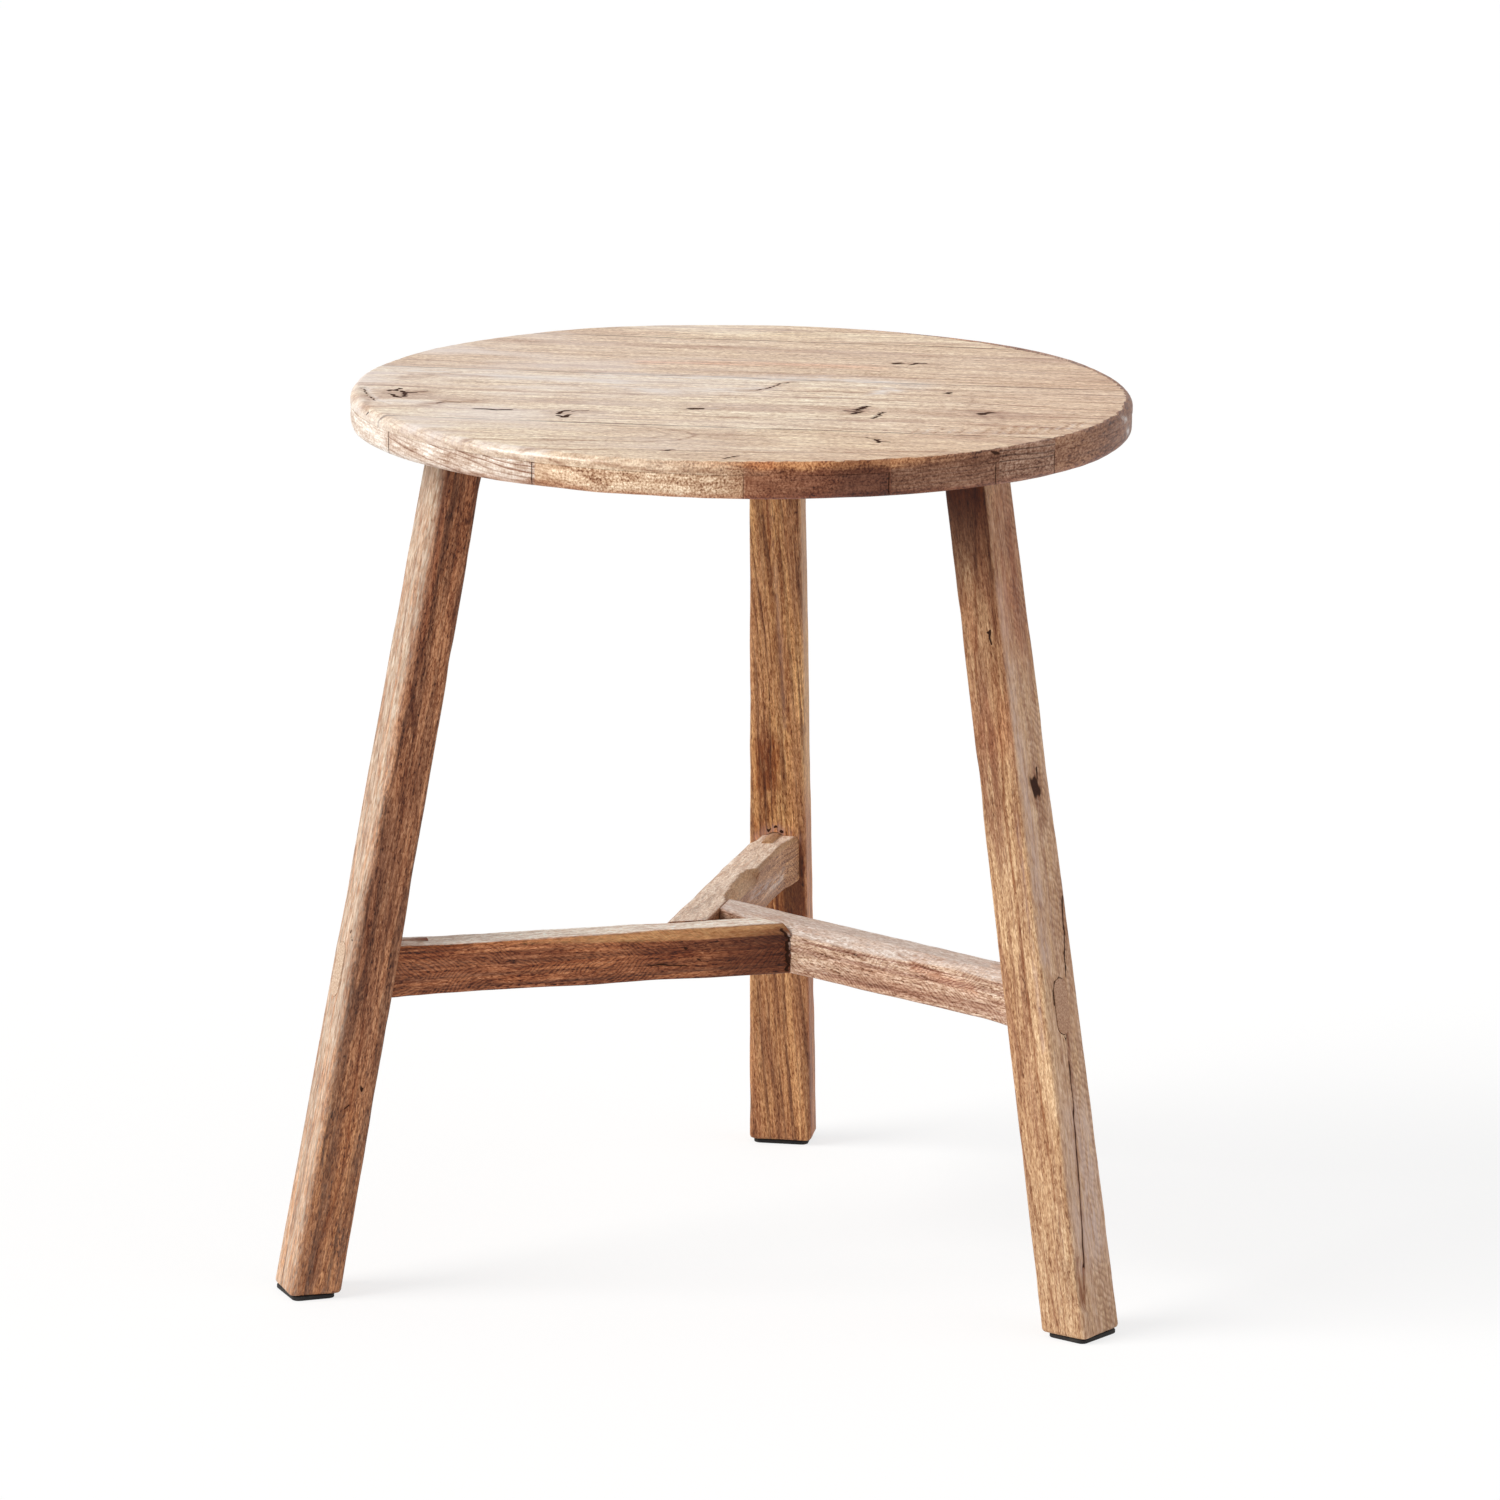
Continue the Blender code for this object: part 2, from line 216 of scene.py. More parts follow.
def hand_cut(points, turn):
    """Moves points of the round by the wander of its rim, along the grain except near the two poles."""
    def out(angle):
        total = 0
        for at, spread, size in RIM_WANDER:
            away = (np.degrees(angle) + turn - at + 180) % 360 - 180
            total = total + size * np.exp(-(away / spread) ** 2)
        return total

    x, y = points[:, 0], points[:, 1]
    row = np.arcsin(np.clip(y / ROUND, -0.9, 0.9))
    half = ROUND * np.cos(row)
    share = np.clip(x / half, -1, 1)
    slide = out(row) / np.cos(row) * np.maximum(share, 0) ** 3
    slide -= out(math.pi - row) / np.cos(row) * np.maximum(-share, 0) ** 3
    angle = np.arctan2(y, x)
    swell = out(angle) * (np.hypot(x, y) / ROUND) ** 4
    poles = smooth(np.abs(y) / ROUND, 0.86, 0.98)
    moved = points.copy()
    moved[:, 0] += slide * (1 - poles) + swell * np.cos(angle) * poles
    moved[:, 1] += swell * np.sin(angle) * poles
    return moved


def disc_board(node, turn, upper_round, lower_round):
    """One board of a round layer: rows across its width, each a loop over, down the rim, under and up."""
    corners = seen_from_axis(node, turn)
    low, high = corners[:, 1].min(), corners[:, 1].max()
    bottom, top = corners[:, 2].min(), corners[:, 2].max()
    first, last = low < 2 - ROUND, high > ROUND - 2
    low, high = (-ROUND if first else low - JOINT_GAP), (ROUND if last else high + JOINT_GAP)
    bottom -= GLUE_LINE if top > TOP - 1 else 0.0
    turns = np.linspace(0, math.pi / 2, 9)
    rim = [(ROUND - upper_round * (1 - math.sin(a)), top - upper_round * (1 - math.cos(a))) for a in turns]
    wall = (top - upper_round) - (bottom + lower_round)
    steps = max(2, int(wall / 1.3))
    rim += [(ROUND, top - upper_round - wall * k / steps) for k in range(1, steps)]
    for a in turns:
        rim.append((ROUND - lower_round * (1 - math.cos(a)), bottom + lower_round * (1 - math.sin(a))))
    radius, level = np.array(rim).T
    inner = np.minimum(radius[0], radius[-1])
    begin = -math.pi / 2 if first else math.asin(low / inner)
    end = math.pi / 2 if last else math.asin(high / inner)
    rows = np.linspace(0, 1, max(8, int((end - begin) / 0.0105)))
    near = np.array([0.25, 0.6, 1.1]) / (inner * (end - begin))
    rows = np.unique(np.r_[rows, [] if first else near, [] if last else 1 - near])
    lows = np.full(len(radius), -math.pi / 2) if first else np.arcsin(low / radius)
    highs = np.full(len(radius), math.pi / 2) if last else np.arcsin(high / radius)
    across = np.linspace(-1, 1, 170)[1:-1]
    loops = []
    for share in rows:
        angle = lows + (highs - lows) * share
        x, y = radius * np.cos(angle), radius * np.sin(angle)
        over = np.c_[across * x[0], np.full(len(across), y[0]), np.full(len(across), level[0])]
        right = np.c_[x, y, level]
        under = np.c_[-across * x[-1], np.full(len(across), y[-1]), np.full(len(across), level[-1])]
        left = np.c_[-x, y, level][::-1]
        loops.append(np.concatenate([over, right, under, left]))
    return lofted(np.array(loops), not first, not last), low, high


TOP_MARKS = (
    ("stain", 17, 0.25, 0.8, [(-216, -50), (-206, -55), (-196, -48)]),
    ("crack", 2.5, 0.9, 1.0, [(-217, -44), (-214, -41), (-211, -43), (-211, -34)]),
    ("crack", 3, 1.1, 1.0, [(-213, -56), (-209, -66), (-205, -67), (-203, -60), (-205, -51)]),
    ("crack", 3, 0.9, 1.0, [(-208, -44), (-205, -49), (-199, -47)]),
    ("crack", 1.5, 0.4, 0.7, [(-199, -47), (-192, -41)]),
    ("stain", 9, 0.1, 0.55, [(-214, 3), (-211, 11), (-206, 6)]),
    ("stain", 8, 0.1, 0.5, [(-201, 6), (-198, 14)]),
    ("stain", 6, 0.0, 0.4, [(-190, 24), (-181, 29)]),
    ("stain", 12, 0.2, 0.8, [(-187, -91), (-181, -84), (-175, -76), (-168, -78), (-156, -73)]),
    ("crack", 2, 0.3, 0.6, [(-181, -84), (-175, -78), (-166, -78)]),
    ("crack", 3, 0.8, 0.9, [(-154, -98), (-147, -98), (-141, -99), (-131, -97)]),
    ("crack", 2.8, 0.9, 1.0, [(-101, -104), (-100, -96), (-95, -93)]),
    ("crack", 3.2, 1.0, 1.0, [(-100, -111), (-96, -115), (-94, -106)]),
    ("stain", 8, 0.2, 0.7, [(-98, -104), (-95, -102)]),
    ("crack", 1.8, 0.4, 0.7, [(-94, -96), (-84, -90)]),
    ("crack", 4.2, 1.4, 1.0, [(-22, -73), (-14, -71)]),
    ("stain", 9, 0.0, 0.5, [(-28, -74), (-6, -70)]),
    ("stain", 14, 0.0, 0.5, [(78, -68), (86, -50)]),
    ("stain", 10, 0.0, 0.5, [(88, 114), (112, 118)]),
    ("stain", 16, 0.0, 0.45, [(-104, -104), (-84, -94)]),
    ("crack", 2, 0.6, 0.8, [(74, -60), (82, -62)]),
    ("pale", 6, 0.0, 0.8, [(-12, -70), (-7, -69)]),
    ("crack", 4.2, 1.0, 1.0, [(90, 113), (94, 116)]),
    ("crack", 3, 0.8, 0.9, [(101, 112), (104, 118), (110, 119)]),
    ("stain", 5, 0.5, 0.75, [(2, -4), (13, 0), (19, 9), (23, 20), (27, 33), (32, 36)]),
    ("crack", 2, 0.6, 0.6, [(13, 0), (19, 9), (24, 24), (29, 33)]),
    ("crack", 3.8, 1.0, 1.0, [(80, -70), (84, -62)]),
    ("crack", 4.4, 1.1, 1.0, [(81, -57), (86, -43)]),
    ("crack", 2.8, 0.7, 0.8, [(94, -84), (98, -61)]),
    ("crack", 3.8, 1.0, 0.9, [(132, 13), (134, 17)]),
    ("crack", 6, 1.3, 1.0, [(159, -57), (164, -51)]),
    ("stain", 13, 0.2, 0.7, [(155, -45), (169, -50), (178, -52)]),
    ("stain", 6, 0.3, 0.6, [(154, -47), (161, -65), (171, -88)]),
    ("stain", 6, 0.2, 0.5, [(160, -40), (172, -60), (176, -80)]),
    ("stain", 7, 0.2, 0.5, [(213, -46), (216, -44)]),
    ("stain", 7, 0.2, 0.45, [(222, -41), (225, -39)]),
    ("stain", 9, 0.0, 0.5, [(155, 113), (157, 112)]),
    ("stain", 3, 0.2, 0.6, [(148, 16), (150, -16)]),
    ("pale", 9, 0.0, 1.0, [(89, 6), (94, 25), (100, 17)]),
    ("pale", 4, 0.0, 0.5, [(60, -14), (78, -10), (90, 4)]),
    ("pale", 30, 0.0, 0.7, [(-238, 34), (-185, 26), (-123, 15), (-91, 22), (-48, -14), (11, 6)]),
    ("pale", 24, 0.0, 0.75, [(-91, 40), (-40, 38), (60, 52), (110, 40)]),
    ("rosy", 16, 0.0, 0.7, [(-69, 88), (-33, 90), (16, 97), (82, 95)]),
    ("stain", 16, 0.0, 0.3, [(100, -150), (112, -160), (122, -171)]),
    ("crack", 3.2, 0.7, 0.8, [(103, -156), (105, -165)]),
    ("crack", 2, 0.4, 0.6, [(96, -150), (104, -160), (112, -163)]),
    ("crack", 2.5, 0.5, 0.7, [(-23, -218), (-16, -213)]),
    ("crack", 3, 0.4, 0.6, [(18, -237), (21, -230), (24, -227)]),
    ("stain", 3, 0.1, 0.8, [(-71, -138), (-34, -141), (-16, -150), (-8, -161), (-17, -180), (-37, -190),
                            (-64, -192), (-100, -191)]),
    ("stain", 3, 0.1, 0.6, [(-60, -148), (-34, -152), (-24, -162), (-34, -176), (-62, -182), (-100, -180)]),
    ("stain", 5, 0.0, 0.6, [(-10, -159), (8, -157), (22, -156)]),
    ("stain", 3.5, 0.1, 0.7, [(-157, -199), (-122, -198), (-53, -191)]),
    ("stain", 3.5, 0.1, 0.75, [(-132, -224), (-87, -224), (-35, -217), (37, -212), (101, -198),
                               (150, -185)]),
    ("pale", 3, 0.3, 0.8, [(-233, -29), (-225, -58), (-217, -78), (-208, -90)]),
    ("stain", 6, 0.3, 0.5, [(-221, -122), (-224, -86), (-222, -70)]),
    ("crack", 1.8, 0.5, 0.6, [(-234, -33), (-227, -60), (-219, -80)]),
)


def chatter(start, end, count, length):
    """A row of short slanted tool strokes between two places on the top."""
    strokes = []
    for k in range(count):
        share = k / (count - 1)
        x = start[0] + (end[0] - start[0]) * share
        y = start[1] + (end[1] - start[1]) * share
        strokes.append(("pale" if k % 2 else "stain", 2.2, 0.25, 0.5, [(x, y), (x + 3.5, y + length)]))
    return tuple(strokes)


TOP_MARKS += chatter((122, -130), (172, -120), 8, 16) + chatter((174, -120), (200, -118), 8, 24)
TOP_MARKS += chatter((204, -112), (224, -86), 6, 20)


class Field:
    """One value or colour on its way through a node tree. Arithmetic on it adds the Math nodes."""

    def __init__(self, tree, socket):
        self.tree = tree
        self.socket = socket

    def math(self, operation, *others):
        """A Math node whose first value is this one."""
        return self.tree.add("ShaderNodeMath", {"operation": operation}, dict(enumerate((self, *others))))

    def __add__(self, other):
        return self.math("ADD", other)

    def __sub__(self, other):
        return self.math("SUBTRACT", other)

    def __rsub__(self, other):
        return self.tree.add("ShaderNodeMath", {"operation": "SUBTRACT"}, {0: other, 1: self})

    def __mul__(self, other):
        return self.math("MULTIPLY", other)

    def __truediv__(self, other):
        return self.math("DIVIDE", other)

    __radd__ = __add__
    __rmul__ = __mul__


class Tree:
    """A node tree that is being built, for a finish or for geometry."""

    def __init__(self, group):
        self.group = group

    def add(self, kind, settings, inputs, output=0):
        """Adds a node: its settings first, then the values or links of its sockets."""
        node = self.group.nodes.new(kind)
        for name, value in settings.items():
            if name == "stops":
                ramp = node.color_ramp
                while len(ramp.elements) < len(value):
                    ramp.elements.new(1.0)
                for element, (at, colour) in zip(ramp.elements, value):
                    element.position = at
                    element.color = (*colour, 1.0)
            elif name == "blend":
                node.color_ramp.interpolation = value
            else:
                setattr(node, name, value)
        for name, value in inputs.items():
            if isinstance(value, Field):
                self.group.links.new(value.socket, node.inputs[name])
            else:
                node.inputs[name].default_value = value
        return Field(self, node.outputs[output])

    def noise(self, place, size, seed, detail=2.0, curl=0.0):
        """Soft noise over a place in mm, about as coarse as size, which may differ along the three axes."""
        shares = tuple(1 / s for s in size)
        shifted = self.add("ShaderNodeVectorMath", {"operation": "MULTIPLY_ADD"},
                           {0: place, 1: shares, 2: (seed * 7.3, seed * 3.1, seed * 5.7)})
        return self.add("ShaderNodeTexNoise", {},
                        {"Vector": shifted, "Scale": 1.0, "Detail": detail, "Distortion": curl})

    def step(self, value, low, high):
        """0 below low, 1 above high, with a soft step between."""
        return self.add("ShaderNodeMapRange", {"interpolation_type": "SMOOTHSTEP"},
                        {0: value, 1: low, 2: high})

    def split(self, vector):
        """The three numbers of a place or a colour."""
        node = self.add("ShaderNodeSeparateXYZ", {}, {0: vector}).socket.node
        return [Field(self, socket) for socket in node.outputs]

    def per_ring(self, turn):
        """A random number for each whole ring, the same all along it."""
        return self.add("ShaderNodeTexWhiteNoise", {"noise_dimensions": "1D"}, {"W": turn.math("FLOOR")})


class Finish(Tree):
    """A finish: its material, the tree in it, and what goes to the shader."""

    def __init__(self, name):
        self.material = bpy.data.materials.new(name)
        self.material.use_nodes = True
        super().__init__(self.material.node_tree)
        self.shader = self.group.nodes["Principled BSDF"]
        self.shader.inputs["Specular IOR Level"].default_value = 0.25

    def place(self, turn, origin=(0, 0, 0), tilt=(0, 0)):
        """The surface's own place in mm, in a frame on the table's axis with its X along the grain."""
        here = self.add("ShaderNodeTexCoord", {}, {}, 3)
        middle = [a + o * MM for a, o in zip(AXIS, origin)]
        angles = (math.radians(tilt[0]), math.radians(tilt[1]), math.radians(turn))
        return self.add("ShaderNodeMapping", {"vector_type": "TEXTURE"},
                        {"Vector": here, "Location": middle, "Rotation": angles, "Scale": (MM, MM, MM)})

    def mix(self, share, below, above, blend="MIX"):
        """One colour laid over another. A plain colour is three numbers."""
        below, above = (c if isinstance(c, Field) else (*c, 1.0) for c in (below, above))
        return self.add("ShaderNodeMix", {"data_type": "RGBA", "blend_type": blend},
                        {0: share, 6: below, 7: above}, 2)

    def mark(self, kind):
        """How strongly a kind of mark or wear, kept in the mesh, shows here."""
        return self.add("ShaderNodeAttribute", {"attribute_name": kind}, {}, 2)

    def scaled(self, colour, share):
        """A colour made lighter or darker; like oiled wood it gets redder as it darkens."""
        share = share.math("MAXIMUM", 0.08)
        powers = {k: share.math("POWER", power) for k, power in enumerate((0.85, 1.2, 1.45))}
        warm = self.add("ShaderNodeCombineXYZ", {}, powers)
        return self.add("ShaderNodeVectorMath", {"operation": "MULTIPLY"}, {0: colour, 1: warm})

    def timber(self, place, seed, pith, ring, pale, deep, line, lean=(0.0, 0.0), fine=1.3, streaks=0.4,
               coarse=1.0, bold=1.0, fade=0.55):
        """Colour and height of sawn timber, from rings round a pith line that leans through the board."""
        along, across, up = self.split(place)
        wander = self.noise(place, (300, 60, 60), seed, 1.0) - 0.5
        ripple = self.noise(place, (45, 7, 7), seed + 1, 2.0) - 0.5
        side = across - pith[0] - along * lean[0] + wander * 30
        rise = up - pith[1] - along * lean[1] + wander * 14
        square = side * side + rise * rise
        radius = square.math("SQRT") + ripple * 3.0
        spread = self.add("ShaderNodeCombineXYZ", {}, {0: radius / (ring * 2.6), 1: seed * 1.7})
        uneven = self.add("ShaderNodeTexNoise", {}, {"Vector": spread, "Scale": 1.0, "Detail": 1.0})
        turn = radius / ring + uneven * 3.0
        phase = turn.math("FRACT")
        number = self.per_ring(turn)
        lines = self.step(phase, 0.0, 0.08) - self.step(phase, 0.10, fade)
        broken = self.step(self.noise(place, (55, 4, 4), seed + 7, 2.0), 0.34, 0.62)
        weight = lines * (number * 0.75 + 0.25) * (broken * 0.65 + 0.35) * bold
        weight = weight.math("MINIMUM", 1.0)
        tone = self.step(self.noise(place, (150, 16, 16), seed + 2, 3.0), 0.36, 0.64)
        fibre = self.noise(place, (30, 1.5 * coarse, 1.5 * coarse), seed + 3, 3.0) - 0.5
        fleck = self.noise(place, (3.4, 0.9 * coarse, 0.9 * coarse), seed + 5, 2.0, curl=0.8) - 0.5
        cloud = self.noise(place, (38, 6, 6), seed + 6, 2.0) - 0.5
        streak = self.step(self.noise(place, (170, 2.3 * coarse, 2.3 * coarse), seed + 9, 2.0), 0.53, 0.63)
        pores = self.step(self.noise(place, (8, 0.5, 0.5), seed + 4, 1.0), 0.60, 0.68)
        colour = self.mix(tone, pale, deep)
        colour = self.mix(weight, colour, line)
        colour = self.mix(streak * streaks, colour, line)
        shade = 1 + fibre * (1.6 * fine) + fleck * (2.6 * fine) + cloud * 0.5
        colour = self.scaled(colour, shade)
        colour = self.mix(pores * (lines * 0.5 + 0.25), colour, [c * 0.6 for c in line])
        height = fibre * 0.12 + fleck * 0.12 - lines * 0.05 - pores * 0.06 - streak * 0.04
        return colour, height

    def close(self, place, colour, height, roughness, bleach=(0.80, 0.74, 0.71)):
        """Lays the marks of use, and the painted shadow of stain marks stronger than 1, over the bare timber
        and closes the material.
        """
        stain, pale, rosy = self.mark("stain"), self.mark("pale"), self.mark("rosy")
        crack = self.step(self.mark("crack"), 0.16, 0.55)
        ragged = self.step(self.noise(place, (12, 1.8, 1.8), 71, 2.0), 0.38, 0.60)
        cloud = self.step(self.noise(place, (40, 9, 9), 73, 2.0), 0.35, 0.62)
        rubbed = ragged * 0.45 + 0.55
        colour = self.mix(pale * (ragged * 0.5 + cloud * 0.5), colour, bleach)
        colour = self.mix(rosy * (cloud * 0.6 + 0.4), colour, (1.0, 0.76, 0.67), "MULTIPLY")
        colour = self.mix(stain * rubbed, colour, (0.46, 0.28, 0.19), "MULTIPLY")
        # Stain marks stronger than 1 darken further: painted shadow.
        colour = self.mix(self.step(stain, 1.0, 2.0), colour, (0.46, 0.42, 0.40), "MULTIPLY")
        colour = self.mix(crack, colour, (0.040, 0.014, 0.007))
        return self.feed(colour, roughness + crack * 0.7, height)

    def feed(self, colour, roughness, height):
        """Feeds the shader a colour, a roughness and the relief of the surface in mm."""
        bump = self.add("ShaderNodeBump", {}, {"Strength": 1.0, "Distance": MM, "Height": height})
        for name, value in (("Base Color", colour), ("Roughness", roughness), ("Normal", bump)):
            self.group.links.new(value.socket, self.shader.inputs[name])
        return self.material


RIM_ZONES = (
    dict(start=-250.0, base=(0.74, 0.62, 0.52), late=(0.56, 0.43, 0.34), ring=7.5, slope=0.0, bold=0.4),
    dict(start=-201.75, base=(0.71, 0.575, 0.475), late=(0.28, 0.13, 0.075), ring=3.6, slope=0.15, bold=1.0),
    dict(start=-101.5, base=(0.68, 0.46, 0.30), late=(0.42, 0.22, 0.12), ring=8.0, slope=0.05, bold=0.5),
    dict(start=30.0, base=(0.235, 0.084, 0.041), late=(0.11, 0.04, 0.022), ring=5.5, slope=-0.06, bold=0.6),
    dict(start=116.25, base=(0.24, 0.107, 0.059), late=(0.1, 0.042, 0.026), ring=3.0, slope=-0.03, bold=0.85),
    dict(start=177.75, base=(0.33, 0.175, 0.11), late=(0.11, 0.05, 0.03), ring=3.0, slope=0.05, bold=0.95),
    dict(start=210.75, base=(0.30, 0.138, 0.072), late=(0.17, 0.075, 0.045), ring=9.0, slope=0.0, bold=0.4),
)
# The joint at this place is closed so tight that no line shows.
CLOSED_JOINT = 30.0
UNDER_TURN = BOARD_TURN + 90


def zoned(finish, right, values):
    """A colour, or three numbers, that jump from board to board of the crosswise layer."""
    stops = [((zone["start"] + 250) / 500, value) for zone, value in zip(RIM_ZONES, values)]
    return finish.add("ShaderNodeValToRGB", {"blend": "CONSTANT", "stops": stops}, {0: (right + 250.0) / 500})


def crosswise(finish, seed=50):
    """Colour and height of the crosswise layer's seven boards, wherever they are seen."""
    place = finish.place(UNDER_TURN)
    _, across, up = finish.split(place)
    right = across * -1
    ring, slope, bold = finish.split(zoned(finish, right, [
        (zone["ring"] / 10, zone["slope"] + 0.5, zone["bold"]) for zone in RIM_ZONES]))
    wander = finish.noise(place, (400, 70, 400), seed, 1.0) - 0.5
    ripple = finish.noise(place, (40, 22, 9), seed + 1, 2.0) - 0.5
    level = up + right * (slope - 0.5) + wander * 12 + ripple * 2.0
    turn = level / (ring * 10) + finish.noise(place, (900, 900, 7), seed + 5, 1.0) * 2.0
    phase = turn.math("FRACT")
    number = finish.per_ring(turn)
    lines = (finish.step(phase, 0.0, 0.10) - finish.step(phase, 0.14, 0.5)) * (number * 0.7 + 0.3) * bold
    fleck = finish.noise(place, (12, 1.3, 1.3), seed + 2, 3.0, curl=0.4) - 0.5
    fibre = finish.noise(place, (8, 9, 1.1), seed + 6, 2.0) - 0.5
    cloud = finish.noise(place, (60, 14, 8), seed + 3, 2.0) - 0.5
    base = zoned(finish, right, [zone["base"] for zone in RIM_ZONES])
    late = zoned(finish, right, [zone["late"] for zone in RIM_ZONES])
    colour = finish.mix(lines, base, late)
    grit = 3.4 - finish.step(right * -1, 60.0, 110.0) * 2.2
    shade = 1 + fleck * grit + fibre * 1.3 + cloud * 1.5
    before = finish.step(right + cloud * 50, 6.0, 34.0) * (1 - finish.step(right, 29.9, 30.1))
    colour = finish.mix(before * 0.8, colour, (0.45, 0.235, 0.125))
    fading = (1 - finish.step(right + cloud * 60, 32.0, 74.0)) * finish.step(right, 29.9, 30.1)
    colour = finish.mix(fading * 0.85, colour, (0.355, 0.148, 0.074))
    upper = finish.step(up + cloud * 6 + fleck * 5, 560.6, 565.0)
    amber = upper * finish.step(right + cloud * 40, -30.0, 40.0) * (1 - finish.step(right, 90.0, 180.0))
    colour = finish.mix(amber * 0.85, colour, (0.50, 0.215, 0.085))
    colour = finish.scaled(colour, shade.math("MAXIMUM", 0.15))
    darkest = finish.step(right + cloud * 30, 74.0, 92.0) - finish.step(right, 115.0, 118.0)
    colour = finish.mix(darkest * 0.85, colour, (0.55, 0.50, 0.50), "MULTIPLY")
    far = finish.step(right + cloud * 30, 224.0, 242.0)
    colour = finish.mix(far, colour, (0.68, 0.58, 0.51), "MULTIPLY")
    # Painted shade: the lower rounding of the rim is darkened and reddened, except at the far left.
    red = (1 - finish.step(up + cloud * 8, 544.5, 549.5)) * finish.step(right, -190.0, -120.0)
    colour = finish.mix(red * 0.8, colour, (0.78, 0.52, 0.40), "MULTIPLY")
    for zone in RIM_ZONES[1:]:
        if zone["start"] != CLOSED_JOINT:
            off = (right - zone["start"]).math("ABSOLUTE")
            seam = (1 - finish.step(off, 0.1, 0.7)) * 0.32
            colour = finish.mix(seam, colour, (0.17, 0.065, 0.035))
    return colour, fleck * 0.16 - lines * 0.08


RIM_MARKS = (
    ("stain", 1.5, 0.25, 1.0, [(-114.5, 558), (-112, 552.5), (-109.8, 547)]),
    ("stain", 1.5, 0.25, 1.0, [(-111, 561.5), (-107, 556), (-102.2, 547.5)]),
    ("stain", 2.4, 0.2, 0.8, [(-104, 562), (-99, 561), (-95, 559.5), (-91, 560.5), (-86, 561), (-82, 564)]),
    ("stain", 7.0, 0.0, 0.7, [(-84, 558), (-81, 553), (-79, 550)]),
    ("crack", 2.2, 0.6, 0.9, [(-153.5, 564), (-153.3, 563.5)]),
    ("crack", 2.4, 0.5, 0.9, [(-44.7, 565), (-44.2, 564.5)]),
    ("rosy", 5.0, 0.0, 0.9, [(-82, 566), (-79, 565.5)]),
    ("pale", 5.0, 0.4, 0.9, [(-5.5, 553), (-3.8, 551)]),
    ("pale", 4.0, 0.4, 0.7, [(-9, 563), (-6, 561)]),
    ("pale", 3.5, 0.3, 0.7, [(-146, 552), (-146.5, 547), (-145.5, 544)]),
    # Painted highlight: a pale streak along the round-over at the front left, where the lamp's gloss lies.
    ("pale", 6.0, 0.0, 0.55, [(-140, 564.5), (-130, 565), (-122, 565.5), (-112, 566)]),
    ("stain", 2.0, 0.4, 0.7, [(-68, 546), (-60, 545.5), (-55, 546.5)]),
    ("stain", 2.0, 0.2, 0.6, [(-70, 562), (-60, 561.2), (-50, 561.8), (-40, 561), (-30, 561.5)]),
)


def rim_drawn(points, turn):
    """The marks that lie on the rim, at points in mm of a frame turned by that many degrees."""
    angle = np.degrees(np.arctan2(points[:, 1], points[:, 0])) + turn - BOARD_TURN
    angle = (angle + 180) % 360 - 180
    arc = ROUND * math.pi / 180
    marks = []
    for kind, width, cut, strength, line in RIM_MARKS:
        marks.append((kind, width, cut, strength, [(a * arc, z) for a, z in line]))
    outer = smooth(np.hypot(points[:, 0], points[:, 1]), ROUND - 8, ROUND - 5)
    fields, depth = drawn(np.c_[angle * arc, points[:, 2]], marks, seed=13, shake=0.25)
    return {kind: values * outer for kind, values in fields.items()}, depth * outer


def top_finish(name, low, high, look):
    """Pale waxed elm with a painted sheen towards the left. Past the crease the rounded rim takes the tone of
    the boards below.
    """
    finish = Finish(f"pale elm, {name.replace('_', ' ')} board")
    place = finish.place(BOARD_TURN)
    right, back, _ = finish.split(place)
    seed = look["seed"]
    colour, height = finish.timber(place, fine=0.75, streaks=0.28, coarse=1.9, bold=0.95, fade=0.34, **look)
    for at in (low, high):
        if abs(at) < ROUND - 2:
            off = (back - at).math("ABSOLUTE")
            broken = finish.step(finish.noise(place, (24, 24, 24), seed + 10, 1.0), 0.35, 0.6)
            seam = (1 - finish.step(off, 0.5, 2.0)) * (broken * 0.5 + 0.36)
            colour = finish.mix(seam, colour, (0.12, 0.05, 0.028))
    # Painted sheen: the top is painted paler and greyer towards the left, in patches, where the lamp's sheen
    # lies.
    sheen_patches = finish.step(finish.noise(place, (110, 34, 34), 77, 3.0), 0.42, 0.66)
    painted_sheen = ((1 - finish.step(right, -250.0, 100.0)) * 0.6 + 0.10) * (sheen_patches * 0.8 + 0.2)
    colour = finish.mix(painted_sheen, colour, (0.80, 0.71, 0.67))
    # Darker and warmer towards the right front.
    darker_to_right = finish.step(right - back * 0.4, 50.0, 240.0)
    colour = finish.mix(darker_to_right, colour, (0.88, 0.78, 0.72), "MULTIPLY")
    square = right * right + back * back
    out = square.math("SQRT")
    ragged = finish.noise(place, (7, 7, 7), seed + 8, 3.0) - 0.5
    edge = finish.step(out + ragged * 6, ROUND - 5.0, ROUND - 4.2)
    side, _ = crosswise(finish)
    colour = finish.mix(edge * (finish.step(right, -60.0, 60.0) * 0.6 + 0.4), colour, side)
    roughness = finish.noise(place, (40, 6, 6), seed + 11, 2.0) * 0.2 + 0.33
    polish = finish.step(out, ROUND - 7, ROUND - 2) * (1 - finish.step(right, -120.0, 40.0))
    finish.group.links.new(polish.socket, finish.shader.inputs["Coat Weight"])
    finish.shader.inputs["Coat Roughness"].default_value = 0.22
    finish.shader.inputs["Specular IOR Level"].default_value = 0.18
    return finish.close(place, colour, height, roughness)


